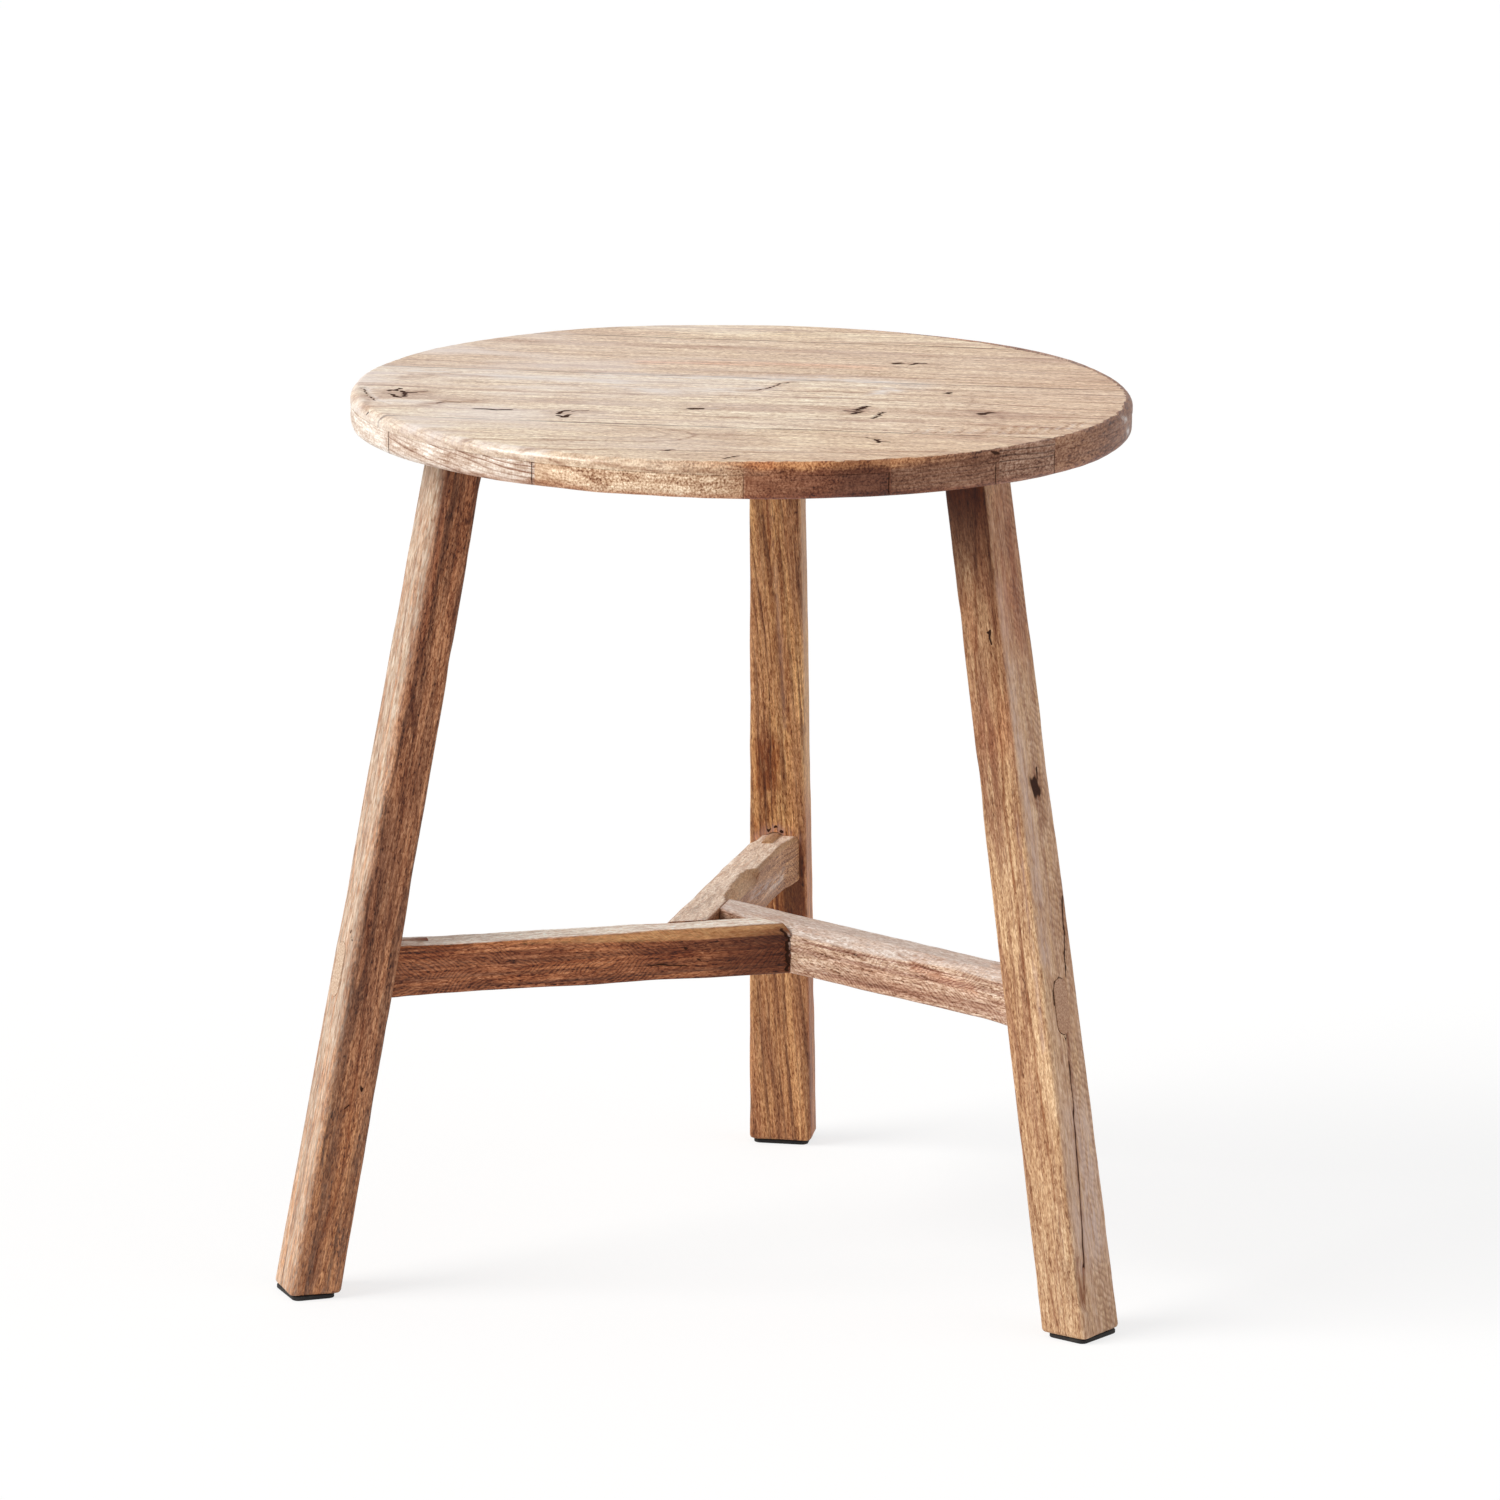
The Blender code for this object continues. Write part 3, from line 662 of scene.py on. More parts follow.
TOP_LOOKS = {
    "front": dict(seed=3, pith=(-160, -30), lean=(0.0, 0.05), ring=11.0,
                  pale=(0.78, 0.615, 0.43), deep=(0.69, 0.51, 0.35), line=(0.40, 0.19, 0.10)),
    "front_middle": dict(seed=17, pith=(-330, -110), lean=(0.04, 0.0), ring=9.0,
                         pale=(0.79, 0.635, 0.465), deep=(0.735, 0.56, 0.395), line=(0.38, 0.18, 0.10)),
    "back_middle": dict(seed=29, pith=(380, -110), lean=(-0.03, 0.0), ring=9.0,
                        pale=(0.715, 0.53, 0.365), deep=(0.64, 0.45, 0.30), line=(0.38, 0.18, 0.10)),
    "back": dict(seed=41, pith=(-60, -90), lean=(0.02, 0.0), ring=9.0,
                 pale=(0.81, 0.635, 0.43), deep=(0.685, 0.485, 0.325), line=(0.36, 0.17, 0.09)),
}

for name, look in TOP_LOOKS.items():
    node = f"top_board_{name}"
    body, low, high = disc_board(node, BOARD_TURN, TOP_ROUND, GLUE_EASE)

    def near_marks(centres):
        places = hand_cut(centres, BOARD_TURN)[:, :2]
        fields, _ = drawn(places, narrow(TOP_MARKS, width=7), seed=5, shake=0.25)
        return (centres[:, 2] > TOP - TOP_ROUND) & (sum(fields.values()) > 0.05)

    refined(body, near_marks, 2)
    points, outward = arrays(body)
    points = hand_cut(points, BOARD_TURN)
    fields, depth = drawn(points[:, :2], TOP_MARKS, seed=5, shake=0.25)
    rim_fields, rim_depth = rim_drawn(points, BOARD_TURN)
    upper = smooth(points[:, 2], TOP - TOP_ROUND, TOP - 1)
    fields = {kind: np.maximum(values * upper, rim_fields[kind]) for kind, values in fields.items()}
    seam = sum(np.exp(-(np.abs(points[:, 1] - at) / 0.5) ** 2) for at in (low, high) if abs(at) < ROUND - 2)
    worn = 0.16 * waves(points, (260, 60, 60), 11) + 0.07 * waves(points, (60, 14, 14), 12) - 0.55
    points += outward * (upper * (worn - 1.6 * depth - 0.35 * seam) - rim_depth * (1 - upper))[:, None]
    finished(node, body, points, BOARD_TURN, fields, top_finish(name, low, high, look))


# Under boards
# Seven boards of darker elm run front to back under the top ones, glued across them. The near rim shows
# their end grain, each in its own tone, and the two sides show long grain. Their lower corner is rounded.

LEG_TURNS = {"back": 90.0, "left": 210.0, "right": 330.0}
LEG_TOP_REACH = 188.0
TENON_ROUND = 10.0
TENON_RISE = 12.0
SOCKET_EASE = 0.3


def spun(body, turn):
    """Turns a body about the table's axis by that many degrees."""
    matrix = Matrix.Rotation(math.radians(turn), 3, "Z")
    bmesh.ops.rotate(body, verts=body.verts, cent=(0, 0, 0), matrix=matrix)


def stub(radius, low, high, reach, turn=0.0):
    """A short upright cylinder at a distance from the axis: a stub tenon, or the cutter of its socket."""
    body = bmesh.new()
    bmesh.ops.create_cone(body, cap_ends=True, segments=48, radius1=radius, radius2=radius, depth=high - low)
    bmesh.ops.translate(body, verts=body.verts, vec=(reach, 0, (low + high) / 2))
    spun(body, turn)
    return as_mesh(body, "stub")


def applied(holder):
    """The plain mesh that an object's modifiers make."""
    bpy.context.view_layer.update()
    shaped = holder.evaluated_get(bpy.context.evaluated_depsgraph_get())
    return bpy.data.meshes.new_from_object(shaped)


def cut_or_joined(mesh, others):
    """A mesh after Boolean steps with other meshes: (operation, mesh) pairs."""
    holder = linked("workpiece", mesh)
    tools = []
    for operation, other in others:
        tools.append(linked("tool", other))
        step = holder.modifiers.new(operation, "BOOLEAN")
        step.operation = operation
        step.solver = "EXACT"
        step.object = tools[-1]
    result = applied(holder)
    for done in (holder, *tools):
        bpy.data.objects.remove(done)
    return result


under_finish = Finish("brown elm, under boards")
under_place = under_finish.place(UNDER_TURN)
under_colour, under_height = crosswise(under_finish)
under_gloss = under_finish.noise(under_place, (30, 5, 5), 61, 2.0) * 0.2 + 0.38
under_material = under_finish.close(under_place, under_colour, under_height, under_gloss)

for number in range(1, 8):
    node = f"under_board_{number}"
    body, low, high = disc_board(node, UNDER_TURN, GLUE_EASE, UNDER_ROUND)
    points, outward = arrays(body)
    floor_side = points[:, 2].min()
    points = hand_cut(points, UNDER_TURN)
    rim = smooth(np.hypot(points[:, 0], points[:, 1]), ROUND - 40, ROUND - 12)
    worn = 0.14 * waves(points, (60, 60, 30), 21) + 0.05 * waves(points, (14, 14, 9), 22) - 0.2
    lower = smooth(-points[:, 2], -floor_side - 9, -floor_side - 1)
    fields, depth = rim_drawn(points, UNDER_TURN)
    points += outward * (worn * np.maximum(rim, lower * 0.5) - depth)[:, None]
    sockets = []
    for turn in LEG_TURNS.values():
        from_joint = LEG_TOP_REACH * math.sin(math.radians(turn - UNDER_TURN))
        if low - TENON_ROUND - 1 < from_joint < high + TENON_ROUND + 1:
            socket = stub(TENON_ROUND + SOCKET_EASE, floor_side - 4, floor_side + TENON_RISE + SOCKET_EASE,
                          LEG_TOP_REACH, turn - UNDER_TURN)
            sockets.append(("DIFFERENCE", socket))
    if sockets:
        for vert, place in zip(body.verts, points):
            vert.co = place
        body = as_body(cut_or_joined(as_mesh(body, "board"), sockets))
        points, _ = arrays(body)
        fields, _ = rim_drawn(points, UNDER_TURN)
    finished(node, body, points, UNDER_TURN, fields, under_material)


# Legs
# Three tapered legs of tan elm splay out from under the top. Each is glued into the under boards by a
# round stub tenon, and is mortised right through for the tenon of a rail. Their arrises are worn.

LEG_ROWS = 320
LEG_CORNER_SHARE = 0.10
LEG_BLEND = {"left": (-0.40, 0.22), "right": (-0.09, 0.07), "back": (-0.10, 0.08)}
LEG_FOOT_TONE = {"left": (1.27, 1.25, 1.06), "right": (0.88, 0.89, 0.92), "back": (0.77, 0.69, 0.70)}
# Painted shade under the top: the colour that each leg's upper part is multiplied towards, and the heights over
# which it comes in.
LEG_PAINTED_SHADE_TONE = {"left": (0.36, 0.285, 0.235), "right": (0.148, 0.050, 0.012), "back": (0.36, 0.285, 0.235)}
LEG_PAINTED_SHADE_HEIGHTS = {"right": (445.0, 530.0), "left": (430.0, 640.0), "back": (450.0, 585.0)}
FOOT_ROUND = 2.6
MORTISE_SPAN = (200.0, 320.0)
MORTISE_EASE = {"back": 0.35, "left": 0.2, "right": 0.5}
UNDERSIDE = min(seen_from_axis(f"under_board_{n}", UNDER_TURN)[:, 2].min() for n in range(1, 8))
LEG_TOP = UNDERSIDE - 0.1
LEG_FOOT = seen_from_axis("leg_back", 90.0)[:, 2].min()
LEG_FOOT_REACH = 284.6
LEG_SECTIONS = {
    "back": dict(top=(29.0, 33.0), foot=(31.0, 42.0), twist=(0.0, 0.0)),
    "left": dict(top=(29.0, 32.5), foot=(34.0, 39.5), twist=(1.5, -4.0)),
    "right": dict(top=(31.0, 31.5), foot=(33.5, 42.0), twist=(4.5, 2.5)),
}
RAIL_MIDDLE = sum(c[2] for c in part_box("rail_back")) / 2 / MM
OPEN_TRIANGLE = 34
RAIL_INNER = OPEN_TRIANGLE / (2 * math.sqrt(3))
RAIL_WIDTH, RAIL_TALL = 24.0, 32.0
RAIL_TENON_WIDTH, RAIL_TENON_TALL = 14.0, 34.5
RAIL_TENON_SHIFT = {"back": 0.0, "left": -2.2, "right": 1.2}


def leg_share(z):
    """0 at a leg's foot and 1 at its top."""
    return (z - LEG_FOOT) / (LEG_TOP - LEG_FOOT)


def leg_reach(z):
    """How far out the middle of a leg is at a height."""
    return LEG_FOOT_REACH + (LEG_TOP_REACH - LEG_FOOT_REACH) * leg_share(z)


def leg_section(side, z):
    """The depth, width and twist of a leg at a height, in mm and radians."""
    share, sizes = leg_share(z), LEG_SECTIONS[side]
    depth, width = (sizes["foot"][k] + (sizes["top"][k] - sizes["foot"][k]) * share for k in (0, 1))
    return depth, width, np.radians(sizes["twist"][1] + (sizes["twist"][0] - sizes["twist"][1]) * share)


RAIL_YAW = math.degrees(math.asin((RAIL_INNER + RAIL_WIDTH / 2) / leg_reach(RAIL_MIDDLE)))


def open_group(name, sizes, count, result):
    """A new Geometry Nodes tree with its named sizes, its count and its material as inputs."""
    tree = Tree(bpy.data.node_groups.new(name, "GeometryNodeTree"))
    inputs = [(size, "Float") for size in sizes] + [(count, "Int"), ("Material", "Material")]
    for label, kind in inputs:
        tree.group.interface.new_socket(name=label, in_out="INPUT", socket_type=f"NodeSocket{kind}")
    tree.group.interface.new_socket(name=result, in_out="OUTPUT", socket_type="NodeSocketGeometry")
    entry = tree.group.nodes.new("NodeGroupInput")
    return tree, {socket.name: Field(tree, socket) for socket in entry.outputs if socket.name}


def close_group(tree, geometry, material):
    """Ends a Geometry Nodes tree with real geometry in its material."""
    real = tree.add("GeometryNodeRealizeInstances", {}, {"Geometry": geometry})
    dressed = tree.add("GeometryNodeSetMaterial", {}, {"Geometry": real, "Material": material})
    leaving = tree.group.nodes.new("NodeGroupOutput")
    tree.group.links.new(dressed.socket, leaving.inputs[0])
    return tree.group


def tapered_leg_tree():
    """Geometry Nodes for one leg: a rounded square swept up, then tapered, splayed and hand worn."""
    sizes = ("Top Width", "Top Depth", "Foot Width", "Foot Depth", "Top Reach", "Foot Reach", "Top Height",
             "Foot Height", "Top Twist", "Foot Twist", "Corner Share", "Arris Wear", "Face Waver", "Seed")
    tree, given = open_group("tapered_leg", sizes, "Rows", "Leg")
    square = tree.add("GeometryNodeCurvePrimitiveQuadrilateral", {}, {"Width": 1.0, "Height": 1.0})
    rounded = tree.add("GeometryNodeFilletCurve", {"mode": "POLY"},
                       {"Curve": square, "Count": 8, "Radius": given["Corner Share"]})
    section = tree.add("GeometryNodeResampleCurve", {}, {"Curve": rounded, "Count": 88})
    rise = tree.add("GeometryNodeCurvePrimitiveLine", {}, {"End": (0.0, 0.0, 1.0)})
    stations = tree.add("GeometryNodeResampleCurve", {}, {"Curve": rise, "Count": given["Rows"]})
    swept = tree.add("GeometryNodeCurveToMesh", {},
                     {"Curve": stations, "Profile Curve": section, "Fill Caps": True})
    position = tree.add("GeometryNodeInputPosition", {}, {})
    x, y, z = tree.split(position)

    def between(foot, top):
        """A size on its way from the foot to the top."""
        return given[foot] + (given[top] - given[foot]) * z

    def soft(size, seed):
        """Soft noise round 0, finer where size is larger."""
        scaled = tree.add("ShaderNodeVectorMath", {"operation": "MULTIPLY"}, {0: position, 1: size})
        shift = tree.add("ShaderNodeCombineXYZ", {}, {0: given["Seed"] + seed})
        moved = tree.add("ShaderNodeVectorMath", {"operation": "ADD"}, {0: scaled, 1: shift})
        return tree.add("ShaderNodeTexNoise", {}, {"Vector": moved, "Scale": 1.0, "Detail": 2.0}) - 0.5

    corner = tree.step((x * y).math("ABSOLUTE") * 4, 0.45, 0.85)
    wear = tree.step(soft((2.0, 2.0, 7.0), 1.0), -0.02, 0.20) * corner * given["Arris Wear"]
    broad, short = soft((1.3, 1.3, 5.0), 2.0), soft((3.0, 3.0, 24.0), 3.0)
    waver = broad * given["Face Waver"] + short * given["Face Waver"] * 0.4
    depth, width = between("Foot Depth", "Top Depth"), between("Foot Width", "Top Width")
    shrink = 1 - (wear + waver) * 2 / (depth + width)
    out, along = x * depth * shrink, y * width * shrink
    twist = between("Foot Twist", "Top Twist")
    cosine, sine = twist.math("COSINE"), twist.math("SINE")
    placed = tree.add("ShaderNodeCombineXYZ", {}, {
        0: between("Foot Reach", "Top Reach") + out * cosine - along * sine,
        1: out * sine + along * cosine,
        2: between("Foot Height", "Top Height")})
    leg = tree.add("GeometryNodeSetPosition", {}, {"Geometry": swept, "Position": placed})
    return close_group(tree, leg, given["Material"])


def grown(group, values, name):
    """The plain mesh that a Geometry Nodes tree makes from its named inputs."""
    holder = linked(name, bpy.data.meshes.new(name))
    modifier = holder.modifiers.new(name, "NODES")
    modifier.node_group = group
    for item in group.interface.items_tree:
        if item.in_out == "INPUT" and item.name in values:
            modifier[item.identifier] = values[item.name]
    mesh = applied(holder)
    bpy.data.objects.remove(holder)
    return mesh


def tenon_outline(side, ease, count=12):
    """The round-ended outline of a rail's tenon, as (y, z) in the rail's frame."""
    radius = RAIL_TENON_WIDTH / 2 + ease
    straight = RAIL_TENON_TALL / 2 - RAIL_TENON_WIDTH / 2
    middle = RAIL_INNER + RAIL_WIDTH / 2 + RAIL_TENON_SHIFT[side]
    points = []
    for sign, start in ((1, 0.0), (-1, math.pi)):
        for k in range(count + 1):
            angle = start + math.pi * k / count
            across = middle + radius * math.cos(angle)
            points.append((across, RAIL_MIDDLE + sign * straight + radius * math.sin(angle)))
    return np.array(points)


def bar(outline, begin, end, turn):
    """A straight bar of an outline along X, turned about the table's axis, as a mesh in mm."""
    loops = np.array([np.c_[np.full(len(outline), x), outline] for x in (begin, end)])
    body = lofted(loops)
    spun(body, turn)
    return as_mesh(body, "bar")


LEG_MARKS = {
    "left": {
        "+y": (
            ("stain", 3.5, 0.2, 0.8, [(530, 10), (506, 11), (482, 8), (459, 6.5), (436, 7), (400, 5)]),
            ("stain", 3.0, 0.2, 0.7, [(521, 0), (482, -5), (452, -6), (429, -13)]),
            ("stain", 12, 0.0, 0.6, [(540, -8), (520, -10), (500, -12)]),
            ("stain", 3.0, 0.3, 0.9, [(395, 11), (377, 5), (365, 1), (340, 3), (310, 0)]),
            ("stain", 5.0, 0.2, 0.5, [(348, -5), (297, -10), (263, -3), (240, -4)]),
            ("stain", 3.0, 0.3, 0.9, [(262, 14), (237, 9), (200, 3), (171, 0.6), (145, -1), (123, -1),
                                      (97, -3.5), (67, -1.5), (38, 4), (12, 4.4)]),
            ("stain", 8.0, 0.0, 0.4, [(262, 12), (200, 2), (123, -2), (60, 0), (10, 6)]),
            ("crack", 1.8, 0.7, 0.9, [(137, -6), (135.5, -6)]),
            ("stain", 7, 0.5, 0.8, [(127, -2), (124.6, 0.4), (121.5, 4)]),
            ("crack", 1.3, 0.5, 0.7, [(125, 0.5), (123, 3)]),
        ),
        "+x": (
            ("crack", 0.9, 0.4, 0.7, [(237, 5), (230, 12)]),
            ("stain", 3, 0.1, 0.4, [(111.5, 4.4), (86.7, 0.3), (57.5, -1.6), (21.3, -3.2)]),
        ),
    },
    "right": {
        "-y": (
            ("stain", 2.6, 0.2, 0.9, [(540, 9), (526, 7), (477, 1), (438, -4), (412, -8)]),
            ("stain", 2.6, 0.3, 0.95, [(530, 15), (505, 14), (475, 12), (447, 11), (421, 8.5), (388, 6),
                                       (362, 5.5), (336, 2), (289, 3), (233, 3.2), (179, 3.6), (128, 5.8),
                                       (90, 6.5)]),
            ("stain", 2.0, 0.2, 0.6, [(336, -6), (262, -5), (180, -7), (124, -14.6)]),
            ("crack", 1.3, 0.5, 0.9, [(444, 5), (443, 6.5), (440, 6), (436, 7)]),
            ("stain", 13, 0.0, 0.55, [(430, 3), (415, 6)]),
            # Painted shade: a warm darkening of this face's upper part, under the top.
            ("rosy", 44, 0.0, 0.85, [(530, 0), (385, 0)]),
            ("stain", 2.6, 0.2, 0.8, [(124, -14.6), (94, -11.4), (69, -9), (32, -5), (10, -3.7)]),
            ("pale", 3, 0.0, 0.35, [(329, 11), (285, 10.7), (251, 11.4), (218, 11.3), (184, 11.2)]),
        ),
        "+x": (
            ("stain", 4, 0.3, 0.7, [(515, -6), (498, -11), (470, -13)]),
            ("stain", 3.5, 0.3, 0.9, [(520, -6), (496, 0), (476, 7), (456, 12), (430, 15)]),
            ("stain", 3.0, 0.2, 0.6, [(510, -3), (480, 0), (452, 6), (420, 10)]),
            ("crack", 7.5, 0.5, 0.95, [(348, -2.4), (345, -0.5), (342, 1.4)]),
            ("crack", 1.6, 0.3, 0.8, [(347, 2), (352, 3), (357, 3.4)]),
            ("stain", 13, 0.2, 0.9, [(352, 1), (338, 1)]),
            ("stain", 20, 0.0, 0.5, [(485, 4), (455, 8), (420, 12)]),
            ("stain", 30, 0.0, 0.75, [(505, 2), (440, 4)]),
            ("rosy", 34, 0.0, 0.8, [(520, 0), (440, 0)]),
            # Painted highlight along the arris between the two seen faces, over real wear there.
            ("pale", 11, 0.0, 0.5, [(470, -12), (430, -11), (400, -12), (330, -11), (280, -12),
                                    (240, -12)]),
            ("pale", 28, 0.0, 0.95, [(135, 2), (60, -2)]),
            ("stain", 7, 0.0, 0.7, [(335, 3), (322, 5)]),
            ("pale", 3, 0.1, 0.45, [(360, -8), (344, -7), (317, -6), (289, -7.4), (262, -9.6),
                                    (240, -11.5)]),
            ("crack", 1.1, 0.7, 0.9, [(275, 14), (252, 11), (236, 8.7), (226, 7.3)]),
            ("stain", 3.0, 0.3, 1.0, [(190, 2), (175, -0.6), (144, -2.4), (114, -4.8), (77, -8.4),
                                      (47, -11.6), (25, -15.6)]),
            ("crack", 1.1, 0.6, 0.9, [(175, -0.6), (144, -2.4), (114, -4.8), (77, -8.4), (47, -11.6)]),
            ("crack", 1.6, 0.5, 0.9, [(212, -8.8), (220, -8.4), (225, -5), (227, -1)]),
            ("crack", 1.4, 0.5, 0.9, [(197, -7.6), (193, -4.4), (191.3, -1), (192.5, 3)]),
            ("stain", 6, 0.0, 0.7, [(284, 17), (274, 15), (266, 14), (250, 15)]),
            ("stain", 6, 1.0, 0.9, [(53, -17), (37, -17.5), (25, -16)]),
            ("pale", 7, 0.4, 1.0, [(50, -14.5), (45, -14)]),
        ),
    },
    "back": {
        "-x": (
            ("stain", 18, 0.0, 0.9, [(268, 14), (248, 6), (232, 14)]),
            # The marks of strength 1.3 and 2.0 go past stain: painted shadow beside the back rail, over a real
            # stain in the upper one.
            ("stain", 26, 0.0, 1.3, [(285, 6), (262, 8)]),
            ("stain", 30, 0.0, 2.0, [(206, -9), (170, -9)]),
            ("stain", 12, 0.0, 0.9, [(196, -4), (172, -4)]),
            ("rosy", 9, -0.5, 1.0, [(222, 13), (227, 8), (228, 0), (226, -8), (220, -13)]),
            ("pale", 7, -0.3, 1.0, [(223, 12), (228, 6), (228, -3), (222, -12)]),
            ("crack", 2.0, 1.0, 1.0, [(229.0, 6), (229.3, 5.5)]),
            ("crack", 2.0, 1.0, 1.0, [(229.2, 1.4), (229.0, 1)]),
            ("crack", 1.8, 1.0, 1.0, [(228.0, -3), (227.8, -3.4)]),
            ("stain", 6, 0.1, 0.7, [(540, 12), (470, 8), (400, 3), (340, -3), (300, -8)]),
            ("pale", 3, 0.0, 0.25, [(520, 6), (440, 2), (360, -3), (300, -6)]),
            ("stain", 40, 0.0, 0.28, [(0, 0), (190, 0)]),
            ("stain", 3, 0.2, 0.9, [(540, 10), (480, 6), (430, 4), (380, 2)]),
            ("stain", 3, 0.2, 0.8, [(500, 0), (440, -2), (360, -6), (300, -8)]),
            ("stain", 4, 0.1, 0.7, [(543, -8), (500, -9), (460, -12)]),
        ),
        "-y": (
            ("rosy", 44, 0.0, 0.9, [(0, 0), (225, 0)]),
            ("stain", 44, 0.0, 0.25, [(0, 0), (225, 0)]),
        ),
    },
}
# How much of each face takes the paler worn tone, by height: partly wear on the outer faces, partly painted
# light that makes some faces paler than others.
LEG_WEAR_AND_LIGHT = {
    "left": {
        "+x": ((10, 0.6), (240, 0.72), (330, 0.70), (400, 0.72), (540, 0.7)),
        "+y": ((10, 0.10), (150, 0.04), (260, 0.0)),
        "-y": ((0, 0.4), (540, 0.4)),
        "-x": ((0, 0.1), (540, 0.1)),
    },
    "right": {
        "+x": ((10, 0.7), (240, 0.6), (420, 0.55), (540, 0.6)),
        "-y": ((0, 0.08), (540, 0.0)),
        "+y": ((0, 0.3), (540, 0.3)),
        "-x": ((0, 0.1), (540, 0.1)),
    },
    "back": {
        "+x": ((0, 0.4), (540, 0.4)),
        "-x": ((0, 0.0), (540, 0.0)),
        "-y": ((0, 0.02), (200, 0.2), (540, 0.65)),
        "+y": ((0, 0.3), (540, 0.3)),
    },
}
LEG_HOLLOWS = {
    "left": (
        (1, 1, ((250, 0.0), (285, 2.0), (310, 1.2), (345, 2.8), (375, 1.2), (400, 2.2), (430, 3.6),
                (480, 4.4), (530, 4.0), (543, 3.6))),
        (1, -1, ((0, 0.0), (120, 0.4), (180, 0.0), (300, 0.6), (400, 0.2), (543, 0.6))),
    ),
    "right": (
        (1, -1, ((20, 0.0), (28, 1.6), (45, 2.4), (58, 0.0), (200, 0.5), (330, 1.4), (420, 1.8), (543, 1.2))),
    ),
    "back": (),
}
LEG_LOOKS = {
    "left": dict(seed=131, pith=(-40, -30), ring=7.0, fine=1.5,
                 pale=(0.47, 0.198, 0.09), deep=(0.27, 0.102, 0.047), line=(0.09, 0.028, 0.014)),
    "right": dict(seed=151, pith=(60, 20), ring=8.0, fine=1.0,
                  pale=(0.64, 0.395, 0.215), deep=(0.55, 0.31, 0.155), line=(0.28, 0.105, 0.05)),
    "back": dict(seed=171, pith=(-50, 15), ring=7.0, fine=1.1,
                 pale=(0.78, 0.43, 0.178), deep=(0.50, 0.235, 0.102), line=(0.17, 0.06, 0.026)),
}
LEG_GRAIN_LEAN = {"left": 0.0, "right": 0.0, "back": 0.07}
LEG_WORN_AND_LIT_TONE = {"left": (0.655, 0.512, 0.382), "right": (0.61, 0.39, 0.265), "back": (0.49, 0.285, 0.15)}


def leg_finish(side, look):
    """Tan oiled elm with painted shade under the top, and paler and greyer where its outer faces are worn and
    where painted light lies on whole faces.
    """
    finish = Finish(f"tan elm, {side} leg")
    turn = math.radians(LEG_TURNS[side])
    standing = (LEG_FOOT_REACH * math.cos(turn), LEG_FOOT_REACH * math.sin(turn), LEG_FOOT)
    slope = math.degrees(math.atan2(LEG_FOOT_REACH - LEG_TOP_REACH, LEG_TOP - LEG_FOOT))
    place = finish.place(LEG_TURNS[side], origin=standing, tilt=(0, -90 - slope))
    along, across, inward = finish.split(place)
    seed = look["seed"]
    grain = finish.add("ShaderNodeCombineXYZ", {}, {
        0: along, 1: across - along * LEG_GRAIN_LEAN[side], 2: inward})
    colour, height = finish.timber(grain, **look)
    low_down = 1 - finish.step(along, 50.0, 190.0)
    colour = finish.mix(low_down, colour, LEG_FOOT_TONE[side], "MULTIPLY")
    # The paler tone is wear and, in part, painted light on whole faces.
    worn = finish.mark("worn")
    patchy = finish.step(finish.noise(place, (26, 4, 4), seed + 13, 3.0), 0.30, 0.62)
    fine = 1 + (finish.noise(place, (7, 1.5, 1.5), seed + 14, 3.0, curl=0.8) - 0.5) * 2.6
    colour = finish.mix(worn * (patchy * 0.6 + 0.4), colour, finish.scaled(LEG_WORN_AND_LIT_TONE[side], fine))
    if side == "right":
        slant = (along + across * 0.7) * 0.21 + finish.noise(place, (22, 7, 7), seed + 15, 2.0) * 2.4
        saw = slant.math("FRACT")
        sawn = finish.step(saw, 0.0, 0.25) - finish.step(saw, 0.3, 0.8)
        sawn = sawn * (1 - finish.step(inward, -12, -8)) * finish.step(across, -7.0, 3.0)
        sawn = sawn * finish.step(finish.noise(place, (34, 9, 9), seed + 16, 2.0), 0.36, 0.52)
        colour = finish.mix(sawn * 0.5, colour, (0.27, 0.12, 0.06))
        height = height - sawn * 0.12
    # Painted shade under the top.
    colour = finish.mix(finish.mark("shade"), colour, LEG_PAINTED_SHADE_TONE[side], "MULTIPLY")
    roughness = finish.noise(place, (30, 5, 5), seed + 11, 2.0) * 0.2 + 0.45
    return finish.close(place, colour, height, roughness, bleach=(0.68, 0.52, 0.46))


def on_leg_face(points, side, face):
    """Each point's height and offset from the middle line of one face, and how fully it is on it."""
    depth, width, twist = leg_section(side, points[:, 2])
    out, off = points[:, 0] - leg_reach(points[:, 2]), points[:, 1]
    out, off = out * np.cos(twist) + off * np.sin(twist), off * np.cos(twist) - out * np.sin(twist)
    sign = 1 if face[0] == "+" else -1
    near, flat, half, other = out, off, depth / 2, width / 2
    if face[1] == "y":
        near, flat, half, other = off, out, width / 2, depth / 2
    side_on = smooth(sign * near / half - np.abs(flat) / other, *LEG_BLEND[side])
    return np.c_[points[:, 2], flat], side_on


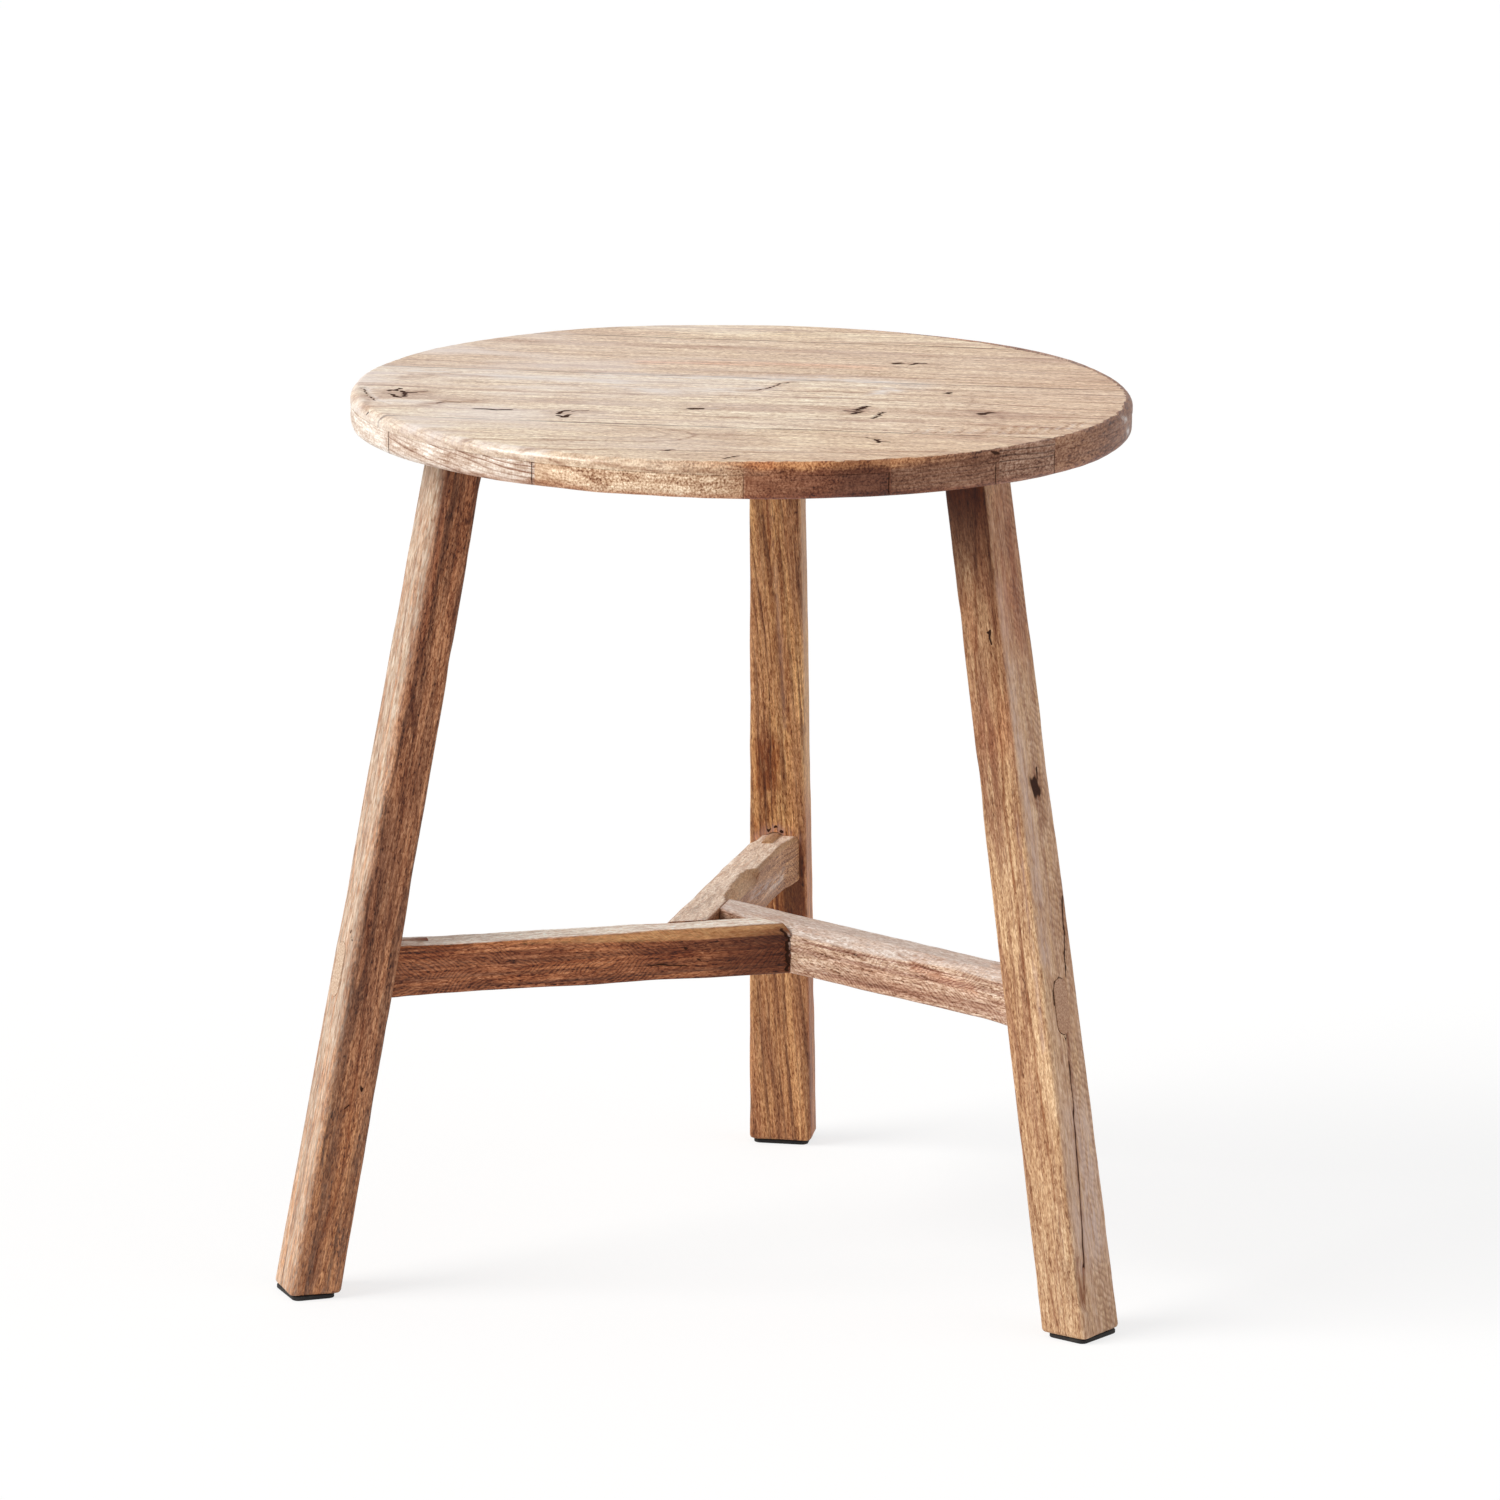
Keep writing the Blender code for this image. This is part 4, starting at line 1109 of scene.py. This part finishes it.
leg_tree = tapered_leg_tree()
for number, (side, turn) in enumerate(LEG_TURNS.items()):
    sizes = LEG_SECTIONS[side]
    shape = {"Corner Share": LEG_CORNER_SHARE, "Arris Wear": 1.2, "Face Waver": 1.5,
             "Seed": 3.0 + 11 * number, "Rows": LEG_ROWS}
    for end, reach, height, twist in zip(("top", "foot"), (LEG_TOP_REACH, LEG_FOOT_REACH),
                                         (LEG_TOP, LEG_FOOT), sizes["twist"]):
        depth, width = sizes[end]
        values = {"Depth": depth, "Width": width, "Reach": reach, "Height": height,
                  "Twist": math.radians(twist)}
        shape.update({f"{end.title()} {name}": value for name, value in values.items()})
    blank = grown(leg_tree, shape, f"blank_{side}")
    mortise = bar(tenon_outline(side, MORTISE_EASE[side]), *MORTISE_SPAN, -RAIL_YAW)
    round_tenon = stub(TENON_ROUND, LEG_TOP - 3, LEG_TOP + TENON_RISE, LEG_TOP_REACH)
    body = as_body(cut_or_joined(blank, (("UNION", round_tenon), ("DIFFERENCE", mortise))))
    bmesh.ops.remove_doubles(body, verts=body.verts, dist=WELD)

    def near_marks(centres):
        hit = centres[:, 2] < LEG_FOOT + FOOT_ROUND + 1
        for face, marks in LEG_MARKS[side].items():
            flat, on = on_leg_face(centres, side, face)
            fields, _ = drawn(flat, narrow(marks, width=6), seed=7, shake=0.35)
            hit |= (sum(fields.values()) > 0.06) & (on > 0.1)
        return hit

    refined(body, near_marks, 2)
    points, outward = arrays(body)
    total = {kind: np.zeros(len(points)) for kind in (*MARK_KINDS, "worn", "shade")}
    sunk, mass = np.zeros(len(points)), np.full(len(points), 1e-6)
    for face, stations in LEG_WEAR_AND_LIGHT[side].items():
        flat, on = on_leg_face(points, side, face)
        heights, values = zip(*stations)
        total["worn"] += on * np.interp(points[:, 2], heights, values)
        mass += on
        fields, depth = drawn(flat, LEG_MARKS[side].get(face, ()), seed=7, shake=0.35)
        for kind in MARK_KINDS:
            total[kind] = np.maximum(total[kind], fields[kind] * on)
        sunk += (depth - sunk) * (on > 0.5)
    total["worn"] /= mass
    # Painted shade under the top, left off where the paler worn and painted-light tone lies.
    total["shade"] = smooth(points[:, 2], *LEG_PAINTED_SHADE_HEIGHTS[side]) * np.clip(1 - total["worn"] * 1.5, 0, 1)
    points -= outward * sunk[:, None]
    depth, width, twist = leg_section(side, points[:, 2])
    middle = np.c_[leg_reach(points[:, 2]), np.zeros(len(points))]
    arm = points[:, :2] - middle
    c, s = np.cos(twist), np.sin(twist)
    u, v = (arm[:, 0] * c + arm[:, 1] * s) * 2 / depth, (arm[:, 1] * c - arm[:, 0] * s) * 2 / width
    shrink = np.zeros(len(points))
    for su, sv, stations in LEG_HOLLOWS[side]:
        heights, values = zip(*stations)
        at_corner = smooth(np.minimum(u * su, v * sv), 0.25, 0.95)
        shrink += at_corner * np.interp(points[:, 2], heights, values)
    below = np.clip(FOOT_ROUND - (points[:, 2] - LEG_FOOT), 0, FOOT_ROUND)
    shrink += FOOT_ROUND - np.sqrt(FOOT_ROUND ** 2 - below ** 2)
    length = np.maximum(np.linalg.norm(arm, axis=1), 1e-6)
    on_skin = np.maximum(np.abs(u), np.abs(v)) > 0.7
    points[:, :2] -= arm / length[:, None] * (shrink * on_skin)[:, None]
    finished(f"leg_{side}", body, points, turn, total, leg_finish(side, LEG_LOOKS[side]))


# Rails
# Three rails of red-brown elm meet in a pinwheel round a small open triangle: the inner end of each is
# cut at 60 degrees and butts on the side of the next. A round-ended tenon passes right through the leg.

RAIL_SPAN = (-12.0, 228.0)
RAIL_PROUD = 0.4
SHOULDER_GAP = 0.1
BUTT_GAP = 0.15
RAIL_ROUND = 1.7
RAIL_LOWERED = 0.4
CHAMFER_FLATNESS = 0.8
LEFT_RAIL_STOUTER = 1.0
RAIL_FLARE = 30.0
RAIL_STATIONS = 170
RAIL_ROOTS = {"back": (31.5, 25.0), "left": (33.5, 24.5), "right": (33.0, 25.0)}
RAIL_ROOT_SHIFT = {"back": -3.2, "left": 0.0, "right": 0.0}
# The top and band tones are the paler tones of the faces that look up: rubbed wood with a painted highlight.
RAIL_LOOKS = {
    "back": dict(seed=191, pith=(40, 20), ring=7.0,
                 pale=(0.50, 0.25, 0.115), deep=(0.33, 0.14, 0.06), line=(0.15, 0.055, 0.028),
                 top=(0.90, 0.75, 0.61), rubbed_and_lit_share=0.85, band=(0.58, 0.37, 0.205)),
    "left": dict(seed=211, pith=(-30, -40), ring=7.0, fine=1.7,
                 pale=(0.44, 0.152, 0.059), deep=(0.23, 0.074, 0.034), line=(0.085, 0.025, 0.013),
                 top=(1.0, 0.93, 0.81), rubbed_and_lit_share=0.97, band=(0.66, 0.37, 0.165)),
    "right": dict(seed=231, pith=(50, -30), ring=7.0,
                  pale=(0.64, 0.44, 0.31), deep=(0.50, 0.28, 0.18), line=(0.26, 0.105, 0.065),
                  top=(0.73, 0.63, 0.56), rubbed_and_lit_share=0.88, band=(0.73, 0.63, 0.56)),
}
RAIL_CHAMFERS = {
    "back": ((-40, 1.2), (42, 1.5), (58, 6.0), (90, 8.0), (118, 9.5), (128, 7.5), (133, 2.6), (235, 2.6)),
    "left": ((-40, 6.5), (60, 6.5), (110, 4.5), (160, 2.5), (235, 2.5)),
    "right": ((-40, 1.2), (0, 1.8), (40, 7.0), (130, 7.0), (180, 4.0), (235, 7.0)),
}
RAIL_BANDS = {
    "back": ((-20, 0.0), (42, 0.0), (58, 0.7), (240, 0.7)),
    "left": ((-40, 0.5), (-10, 0.85), (80, 0.85), (120, 0.4), (170, 0.1), (240, 0.0)),
    "right": ((-20, 0.6), (40, 1.0), (130, 1.0), (180, 0.75), (235, 0.95)),
}
RAIL_MARKS = {
    "left": {
        "+y": (
            ("crack", 1.2, 0.6, 0.8, [(65, -6), (56, -6), (41, -7), (38, -7.6)]),
            ("crack", 2.0, 0.7, 0.9, [(39.7, 4.4), (38.5, 4)]),
            ("crack", 1.8, 0.6, 0.7, [(31.4, -3.6), (30.5, -4)]),
            ("stain", 15, 0.1, 0.9, [(66, 2), (50, 1), (36, 1)]),
            ("stain", 40, 0.1, 0.8, [(0, 0), (-10, -2), (-36, 0)]),
            ("crack", 2.6, 1.2, 0.9, [(-27, 12), (-29, 7), (-28, 2), (-30, -6), (-29, -14)]),
            ("pale", 2.4, 0.5, 1.0, [(-30, 9), (-30.5, 3), (-30, -4)]),
            ("stain", 7, 0.1, 1.0, [(232, 12), (205, 11.5), (192, 11)]),
            ("stain", 2.2, 0.2, 0.9, [(225, -1.6), (179, -2), (145, -2.2), (133, 0), (99, 0)]),
            ("stain", 3.2, 0.2, 0.8, [(225, 9), (190, 7), (160, 8), (120, 6)]),
            ("stain", 2.2, 0.2, 0.8, [(181, -11), (156, -8), (139, -9)]),
        ),
    },
    "right": {
        "-y": (
            ("stain", 1.4, 0.4, 0.9, [(134, 12), (148, 10), (165, 7.5), (179, 3.7)]),
            ("rosy", 7, 0.0, 1.0, [(150, 7), (177, 3), (200, 1)]),
            ("stain", 5, 0.1, 0.5, [(60, -9), (110, -11), (170, -10), (215, -8)]),
        ),
    },
    "back": {
        "-y": (
            ("stain", 6, 0.6, 0.6, [(34, 4), (80, 2), (112, 5), (128, 10)]),
            ("pale", 10, 0.0, 0.5, [(110, 2), (160, -3), (200, -6)]),
        ),
    },
}


def rail_section(side, x, tall, wide, shift):
    """The rail's outline (y, z) at a station: small rounds, and a broad hand-cut chamfer on one top arris."""
    chamfer = np.interp(x, *zip(*RAIL_CHAMFERS[side]))
    chamfered = (1, 1) if side == "left" else (-1, 1)
    middle = RAIL_INNER + RAIL_WIDTH / 2 + shift
    low_y, high_y = middle - wide / 2, middle + wide / 2 + (LEFT_RAIL_STOUTER if side == "left" else 0.0)
    top, bottom = RAIL_MIDDLE + tall / 2 - RAIL_LOWERED, RAIL_MIDDLE - tall / 2 - RAIL_LOWERED
    outline = []
    for quarter, (sy, sz) in enumerate(((1, -1), (1, 1), (-1, 1), (-1, -1))):
        cut = chamfer if (sy, sz) == chamfered else RAIL_ROUND
        flat = CHAMFER_FLATNESS if cut > RAIL_ROUND else 0.0
        corner = np.array([high_y if sy > 0 else low_y, top if sz > 0 else bottom])
        inner = corner - np.array([sy, sz]) * cut
        start = math.radians(90 * quarter - 90)
        first = np.array([math.cos(start), math.sin(start)])
        last = np.array([-math.sin(start), math.cos(start)])
        for k in range(9):
            angle = start + math.pi / 2 * k / 8
            arc = np.array([math.cos(angle), math.sin(angle)])
            chord = first * (1 - k / 8) + last * k / 8
            outline.append(inner + cut * (arc * (1 - flat) + chord * flat))
    closed = np.array(outline + outline[:1])
    run = np.r_[0, np.cumsum(np.linalg.norm(np.diff(closed, axis=0), axis=1))]
    dense = np.linspace(0, run[-1], 91)[:-1]
    return np.c_[np.interp(dense, run, closed[:, 0]), np.interp(dense, run, closed[:, 1])]


def leg_face_x(side, y, z, sign):
    """Where lines along a rail meet the leg's inner (-1) or outer (+1) face."""
    depth, _, twist = leg_section(side, z)
    turned = math.radians(RAIL_YAW) + twist
    return (sign * depth / 2 + leg_reach(z) * np.cos(twist) - y * np.sin(turned)) / np.cos(turned)


def rail_finish(side, look):
    """Red-brown elm with saw marks on its sides, paler on its top and its chamfer: rubbed wood with a painted
    highlight.
    """
    look = dict(look)
    top, rubbed_and_lit_share, band = look.pop("top"), look.pop("rubbed_and_lit_share"), look.pop("band")
    finish = Finish(f"red-brown elm, {side} rail")
    place = finish.place(LEG_TURNS[side] - RAIL_YAW)
    along, _, up = finish.split(place)
    seed = look["seed"]
    colour, height = finish.timber(place, **look)
    # The paler top and chamfer tones are rubbed wood with a painted highlight on the faces that look up.
    worn = finish.mark("worn")
    fine = 1 + (finish.noise(place, (4, 1.1, 1.1), seed + 14, 2.0, curl=0.8) - 0.5) * 1.8
    patchy = finish.step(finish.noise(place, (26, 4, 4), seed + 13, 3.0), 0.30, 0.60)
    colour = finish.mix(worn * rubbed_and_lit_share * (patchy * 0.4 + 0.6), colour, finish.scaled(top, fine))
    rubbed = finish.mark("band")
    colour = finish.mix(rubbed * (patchy * 0.4 + 0.6), colour, finish.scaled(band, fine))
    level = up - RAIL_MIDDLE + (finish.noise(place, (60, 60, 60), seed + 8, 1.0) - 0.5) * 22
    slant = (along * 0.8 - level.math("ABSOLUTE") * 1.1) * 0.33
    slant = slant + finish.noise(place, (24, 24, 24), seed + 5, 2.0) * 5
    saw = slant.math("FRACT")
    where = finish.step(finish.noise(place, (26, 20, 9), seed + 6, 2.0), 0.42, 0.58)
    where = where * (1 - worn) * (1 - rubbed * 0.7)
    cuts = (finish.step(saw, 0.0, 0.25) - finish.step(saw, 0.25, 0.5)) * where
    ridges = (finish.step(saw, 0.5, 0.7) - finish.step(saw, 0.75, 1.0)) * where
    colour = finish.mix(cuts * 0.6, colour, look["line"])
    colour = finish.mix(ridges * 0.45, colour, look["pale"])
    if side == "left":
        butt = 1 - finish.step(along + (up - RAIL_MIDDLE) * 0.5, -20.0, 70.0)
        colour = finish.mix(butt * (1 - worn) * (1 - rubbed), colour, (0.44, 0.38, 0.38), "MULTIPLY")
    tip = finish.mark("tip")
    end_grain = (0.62, 0.45, 0.32) if side == "left" else (0.44, 0.235, 0.135)
    colour = finish.mix(tip * 0.9, colour, finish.scaled(end_grain, fine))
    roughness = finish.noise(place, (30, 5, 5), seed + 11, 2.0) * 0.2 + 0.45
    return finish.close(place, colour, height - cuts * 0.10, roughness)


first, last = RAIL_SPAN
middle_y = RAIL_INNER + RAIL_WIDTH / 2
for side, turn in LEG_TURNS.items():
    stations = np.unique(np.r_[np.linspace(0, 1, RAIL_STATIONS), np.linspace(0.86, 1, 40)])
    loops = []
    for share in stations:
        middle_x = first + share * (last - first)
        swell = 0.5 + 0.5 * math.cos(math.pi * min(1.0, (last - middle_x) / RAIL_FLARE))
        tall, wide = (a + (b - a) * swell for a, b in zip((RAIL_TALL, RAIL_WIDTH), RAIL_ROOTS[side]))
        outline = rail_section(side, middle_x, tall, wide, RAIL_ROOT_SHIFT[side] * swell)
        near_end = leg_face_x(side, outline[:, 0], outline[:, 1], -1) - SHOULDER_GAP
        far_end = -(RAIL_INNER - BUTT_GAP + outline[:, 0] * 0.5) / math.cos(math.radians(30))
        loops.append(np.c_[far_end + (near_end - far_end) * share, outline])
    blank = as_mesh(lofted(np.array(loops)), "rail_blank")
    outline = tenon_outline(side, 0.0)
    tip = leg_face_x(side, outline[:, 0], outline[:, 1], 1) + RAIL_PROUD
    tenon = as_mesh(lofted(np.array([np.c_[tip - reach, outline] for reach in (55.0, 1.2, 0.0)])), "tenon")
    body = as_body(cut_or_joined(blank, (("UNION", tenon),)))
    bmesh.ops.remove_doubles(body, verts=body.verts, dist=WELD)

    def on_rail(points, face):
        """Each point's place along one long face and up from its middle, and how fully it is on it."""
        sign = 1 if face == "+y" else -1
        on = smooth(sign * (points[:, 1] - middle_y), 7, 10)
        return np.c_[points[:, 0], points[:, 2] - RAIL_MIDDLE], on

    def near_marks(centres):
        hit = np.zeros(len(centres), bool)
        for face, marks in RAIL_MARKS[side].items():
            flat, on = on_rail(centres, face)
            fields, _ = drawn(flat, narrow(marks, width=6), seed=9, shake=0.35)
            hit |= (sum(fields.values()) > 0.06) & (on > 0.1)
        return hit

    refined(body, near_marks, 1)
    points, outward = arrays(body)
    total = {kind: np.zeros(len(points)) for kind in (*MARK_KINDS, "worn", "band", "tip")}
    sunk = np.zeros(len(points))
    for face, marks in RAIL_MARKS[side].items():
        flat, on = on_rail(points, face)
        fields, depth = drawn(flat, marks, seed=9, shake=0.35)
        for kind in MARK_KINDS:
            total[kind] = np.maximum(total[kind], fields[kind] * on)
        sunk = np.maximum(sunk, depth * on)
    reach = leg_face_x(side, points[:, 1], points[:, 2], 1) - points[:, 0]
    total["tip"] = smooth(-reach, -2.5, -0.5)
    # Faces that look up take the paler tones: rubbed wood and painted highlight.
    band = smooth(outward[:, 2], 0.25, 0.6) * (1 - smooth(outward[:, 2], 0.85, 0.95))
    total["worn"] = smooth(outward[:, 2], 0.85, 0.95)
    total["band"] = band * np.interp(points[:, 0], *zip(*RAIL_BANDS[side]))
    free = smooth(reach, 36, 46) * smooth(points[:, 0], -12, 6)
    worn = 0.30 * waves(points, (70, 18, 18), 31 + len(side)) + 0.08 * waves(points, (16, 6, 6), 33)
    points += outward * (free * (worn - 0.10) - sunk)[:, None]
    material = rail_finish(side, RAIL_LOOKS[side])
    finished(f"rail_{side}", body, points, turn - RAIL_YAW, total, material)


# Dowels
# A plain turned hardwood dowel crosses each butt joint of the rails. It is out of sight, so the packed
# solids stay as they are and only get their finish.

dowel_finish = Finish("pale turned dowel")
dowel_place = dowel_finish.place(0.0)
dowel_colour, dowel_height = dowel_finish.timber(
    dowel_place, seed=251, pith=(20, 100), ring=3.0,
    pale=(0.62, 0.47, 0.31), deep=(0.52, 0.38, 0.24), line=(0.36, 0.24, 0.14))
dowel_gloss = dowel_finish.noise(dowel_place, (9, 9, 9), 5) * 0.2 + 0.45
dowel_material = dowel_finish.close(dowel_place, dowel_colour, dowel_height, dowel_gloss)
for side in LEG_TURNS:
    dowel = nodes[f"rail_dowel_{side}"]
    dowel.data.materials.clear()
    dowel.data.materials.append(dowel_material)


# Glides
# A thin black rubber pad under each foot, nearly as large as the foot, glued on. Geometry Nodes make one
# pad and set a copy under every leg.

GLIDE_THICK = 3.0
GLIDE_WIDTH, GLIDE_DEPTH, GLIDE_REACH = 37.0, 28.0, 286.0
GLIDE_CORNER = 4.0
GLIDE_CREASE = 50.0
GLIDE_LAYERS = ((0.0, 0.30), (0.10, 0.08), (0.28, 0.0), (0.50, 0.02), (0.72, 0.0), (0.90, 0.08), (1.0, 0.28))


def glide_tree():
    """Geometry Nodes for the pads: one rounded pad, set on points round the table's axis."""
    sizes = ("Width", "Depth", "Thickness", "Corner", "Reach")
    tree, given = open_group("foot_glides", sizes, "Count", "Glides")
    plate = tree.add("GeometryNodeCurvePrimitiveQuadrilateral", {},
                     {"Width": given["Depth"], "Height": given["Width"]})
    rounded = tree.add("GeometryNodeFilletCurve", {"mode": "POLY"},
                       {"Curve": plate, "Count": 8, "Radius": given["Corner"]})
    upright = tree.add("GeometryNodeCurvePrimitiveLine", {}, {})
    rise = tree.add("GeometryNodeResampleCurve", {}, {"Curve": upright, "Count": len(GLIDE_LAYERS)})
    swept = tree.add("GeometryNodeCurveToMesh", {},
                     {"Curve": rise, "Profile Curve": rounded, "Fill Caps": True})
    position = tree.add("GeometryNodeInputPosition", {}, {})
    x, y, z = tree.split(position)
    index = (z * (len(GLIDE_LAYERS) - 1)).math("ROUND")
    level, narrow = index * 0, index * 0
    for k, (share_z, share_in) in enumerate(GLIDE_LAYERS):
        here = index.math("COMPARE", float(k), 0.4)
        level = level + here * share_z
        narrow = narrow + here * share_in
    squeeze = 1 - narrow * given["Thickness"] * 2 / given["Width"]
    shaped = tree.add("ShaderNodeCombineXYZ", {}, {
        0: x * squeeze, 1: y * squeeze, 2: level * given["Thickness"]})
    pad = tree.add("GeometryNodeSetPosition", {}, {"Geometry": swept, "Position": shaped})
    order = tree.add("GeometryNodeInputIndex", {}, {})
    angle = order * (2 * math.pi) / given["Count"] + math.pi / 2
    place = tree.add("ShaderNodeCombineXYZ", {}, {
        0: angle.math("COSINE") * given["Reach"], 1: angle.math("SINE") * given["Reach"]})
    spots = tree.add("GeometryNodePoints", {}, {"Count": given["Count"], "Position": place})
    turned = tree.add("ShaderNodeCombineXYZ", {}, {2: angle})
    copies = tree.add("GeometryNodeInstanceOnPoints", {},
                      {"Points": spots, "Instance": pad, "Rotation": turned})
    return close_group(tree, copies, given["Material"])


def rubber_finish():
    """Matte black rubber, dusty and slightly mottled."""
    finish = Finish("black rubber")
    place = finish.place(0.0)
    dust = finish.step(finish.noise(place, (6, 6, 6), 3, 3.0), 0.4, 0.7)
    grit = finish.noise(place, (0.7, 0.7, 0.7), 4, 2.0)
    colour = finish.mix(dust * 0.5, (0.018, 0.017, 0.017), (0.07, 0.062, 0.055))
    return finish.feed(colour, dust * 0.15 + 0.7, grit * 0.05)


rubber = rubber_finish()
pads = grown(glide_tree(), {
    "Width": GLIDE_WIDTH, "Depth": GLIDE_DEPTH, "Thickness": GLIDE_THICK,
    "Corner": GLIDE_CORNER, "Reach": GLIDE_REACH, "Count": 3, "Material": rubber}, "glides")
glides = linked("rubber_glides", pads)
corners = np.array([v.co for v in pads.vertices])
pads.vertices.foreach_set("co", in_place(corners, 0.0).astype(np.float32).ravel())
pads.shade_smooth()
pads.set_sharp_from_angle(angle=math.radians(GLIDE_CREASE))
pads.materials.clear()
pads.materials.append(rubber)
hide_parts("glide_back", "glide_left", "glide_right")
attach(glides, "root")


# Studio
# A plain pale floor, an even white surround and one broad soft lamp from the left. The camera stands
# where the picture was taken, a little above the top and slightly to the right of its middle.

CAMERA_AZIMUTH = 7.7528
CAMERA_ELEVATION = 12.5704
CAMERA_DISTANCE = 5.4975
CAMERA_TARGET = Vector((0.01168, -0.02416, 0.33313))
CAMERA_ROLL = 0.92708
CAMERA_LENS = 206.62
FLOOR_RADIUS = 40.0


def seen_directly(tree):
    """1 for what the camera sees straight, in a reflection or through glass, and 0 for light on the table."""
    rays = tree.add("ShaderNodeLightPath", {}, {}).socket.node.outputs
    straight, mirrored, through = (
        Field(tree, rays[f"Is {way} Ray"]) for way in ("Camera", "Glossy", "Transmission"))
    return (straight + mirrored + through).math("MINIMUM", 1.0)


def floor_finish():
    """A pale floor that keeps the table's shadow and otherwise reads as the white surround."""
    material = bpy.data.materials.new("pale studio floor")
    material.use_nodes = True
    tree = Tree(material.node_tree)
    tree.group.nodes.clear()
    plain = tree.add("ShaderNodeBsdfDiffuse", {}, {"Color": (0.91, 0.91, 0.91, 1)})
    white = tree.add("ShaderNodeEmission", {}, {"Color": (1, 1, 1, 1), "Strength": 1.05})
    shown = tree.add("ShaderNodeMixShader", {}, {0: seen_directly(tree) * 0.7, 1: plain, 2: white})
    out = tree.group.nodes.new("ShaderNodeOutputMaterial")
    tree.group.links.new(shown.socket, out.inputs["Surface"])
    return material


body = bmesh.new()
bmesh.ops.create_circle(body, cap_ends=True, segments=96, radius=FLOOR_RADIUS)
floor = linked("studio_floor", as_mesh(body, "studio_floor"))
floor.data.materials.append(floor_finish())

world = bpy.data.worlds.new("studio")
bpy.context.scene.world = world
world.use_nodes = True
world.node_tree.nodes.clear()
sky = Tree(world.node_tree)
strength = seen_directly(sky) * 0.54 + 0.46
glow = sky.add("ShaderNodeBackground", {}, {"Color": (1, 1, 1, 1), "Strength": strength})
world_out = world.node_tree.nodes.new("ShaderNodeOutputWorld")
world.node_tree.links.new(glow.socket, world_out.inputs["Surface"])


def soft_lamp(name, azimuth, elevation, strength, spread, colour):
    """A broad lamp, like a large softbox far away, at a compass direction round the table."""
    lamp = bpy.data.lights.new(name, "SUN")
    lamp.energy = strength * math.pi
    lamp.angle = math.radians(spread)
    lamp.color = colour
    holder = linked(name, lamp)
    a, e = math.radians(azimuth), math.radians(elevation)
    towards = Vector((math.cos(a) * math.cos(e), math.sin(a) * math.cos(e), math.sin(e)))
    holder.rotation_euler = towards.to_track_quat("Z", "Y").to_euler()


soft_lamp("softbox_left", azimuth=208.0, elevation=37.0, strength=0.80, spread=36.0,
          colour=(1.0, 0.985, 0.96))
soft_lamp("fill_right", azimuth=350.0, elevation=30.0, strength=0.13, spread=60.0,
          colour=(0.95, 0.97, 1.0))

lens = bpy.data.cameras.new("camera")
lens.sensor_width = 36.0
lens.lens = CAMERA_LENS
lens.clip_end = 200.0
camera = linked("camera", lens)
a, e = math.radians(CAMERA_AZIMUTH), math.radians(CAMERA_ELEVATION)
back = Vector((math.sin(a) * math.cos(e), -math.cos(a) * math.cos(e), math.sin(e)))
camera.location = CAMERA_TARGET + back * CAMERA_DISTANCE
camera.rotation_mode = "QUATERNION"
level_aim = (-back).to_track_quat("-Z", "Y")
camera.rotation_quaternion = level_aim @ Quaternion((0, 0, 1), math.radians(CAMERA_ROLL))
bpy.context.scene.camera = camera
bpy.context.scene.view_settings.view_transform = "Standard"
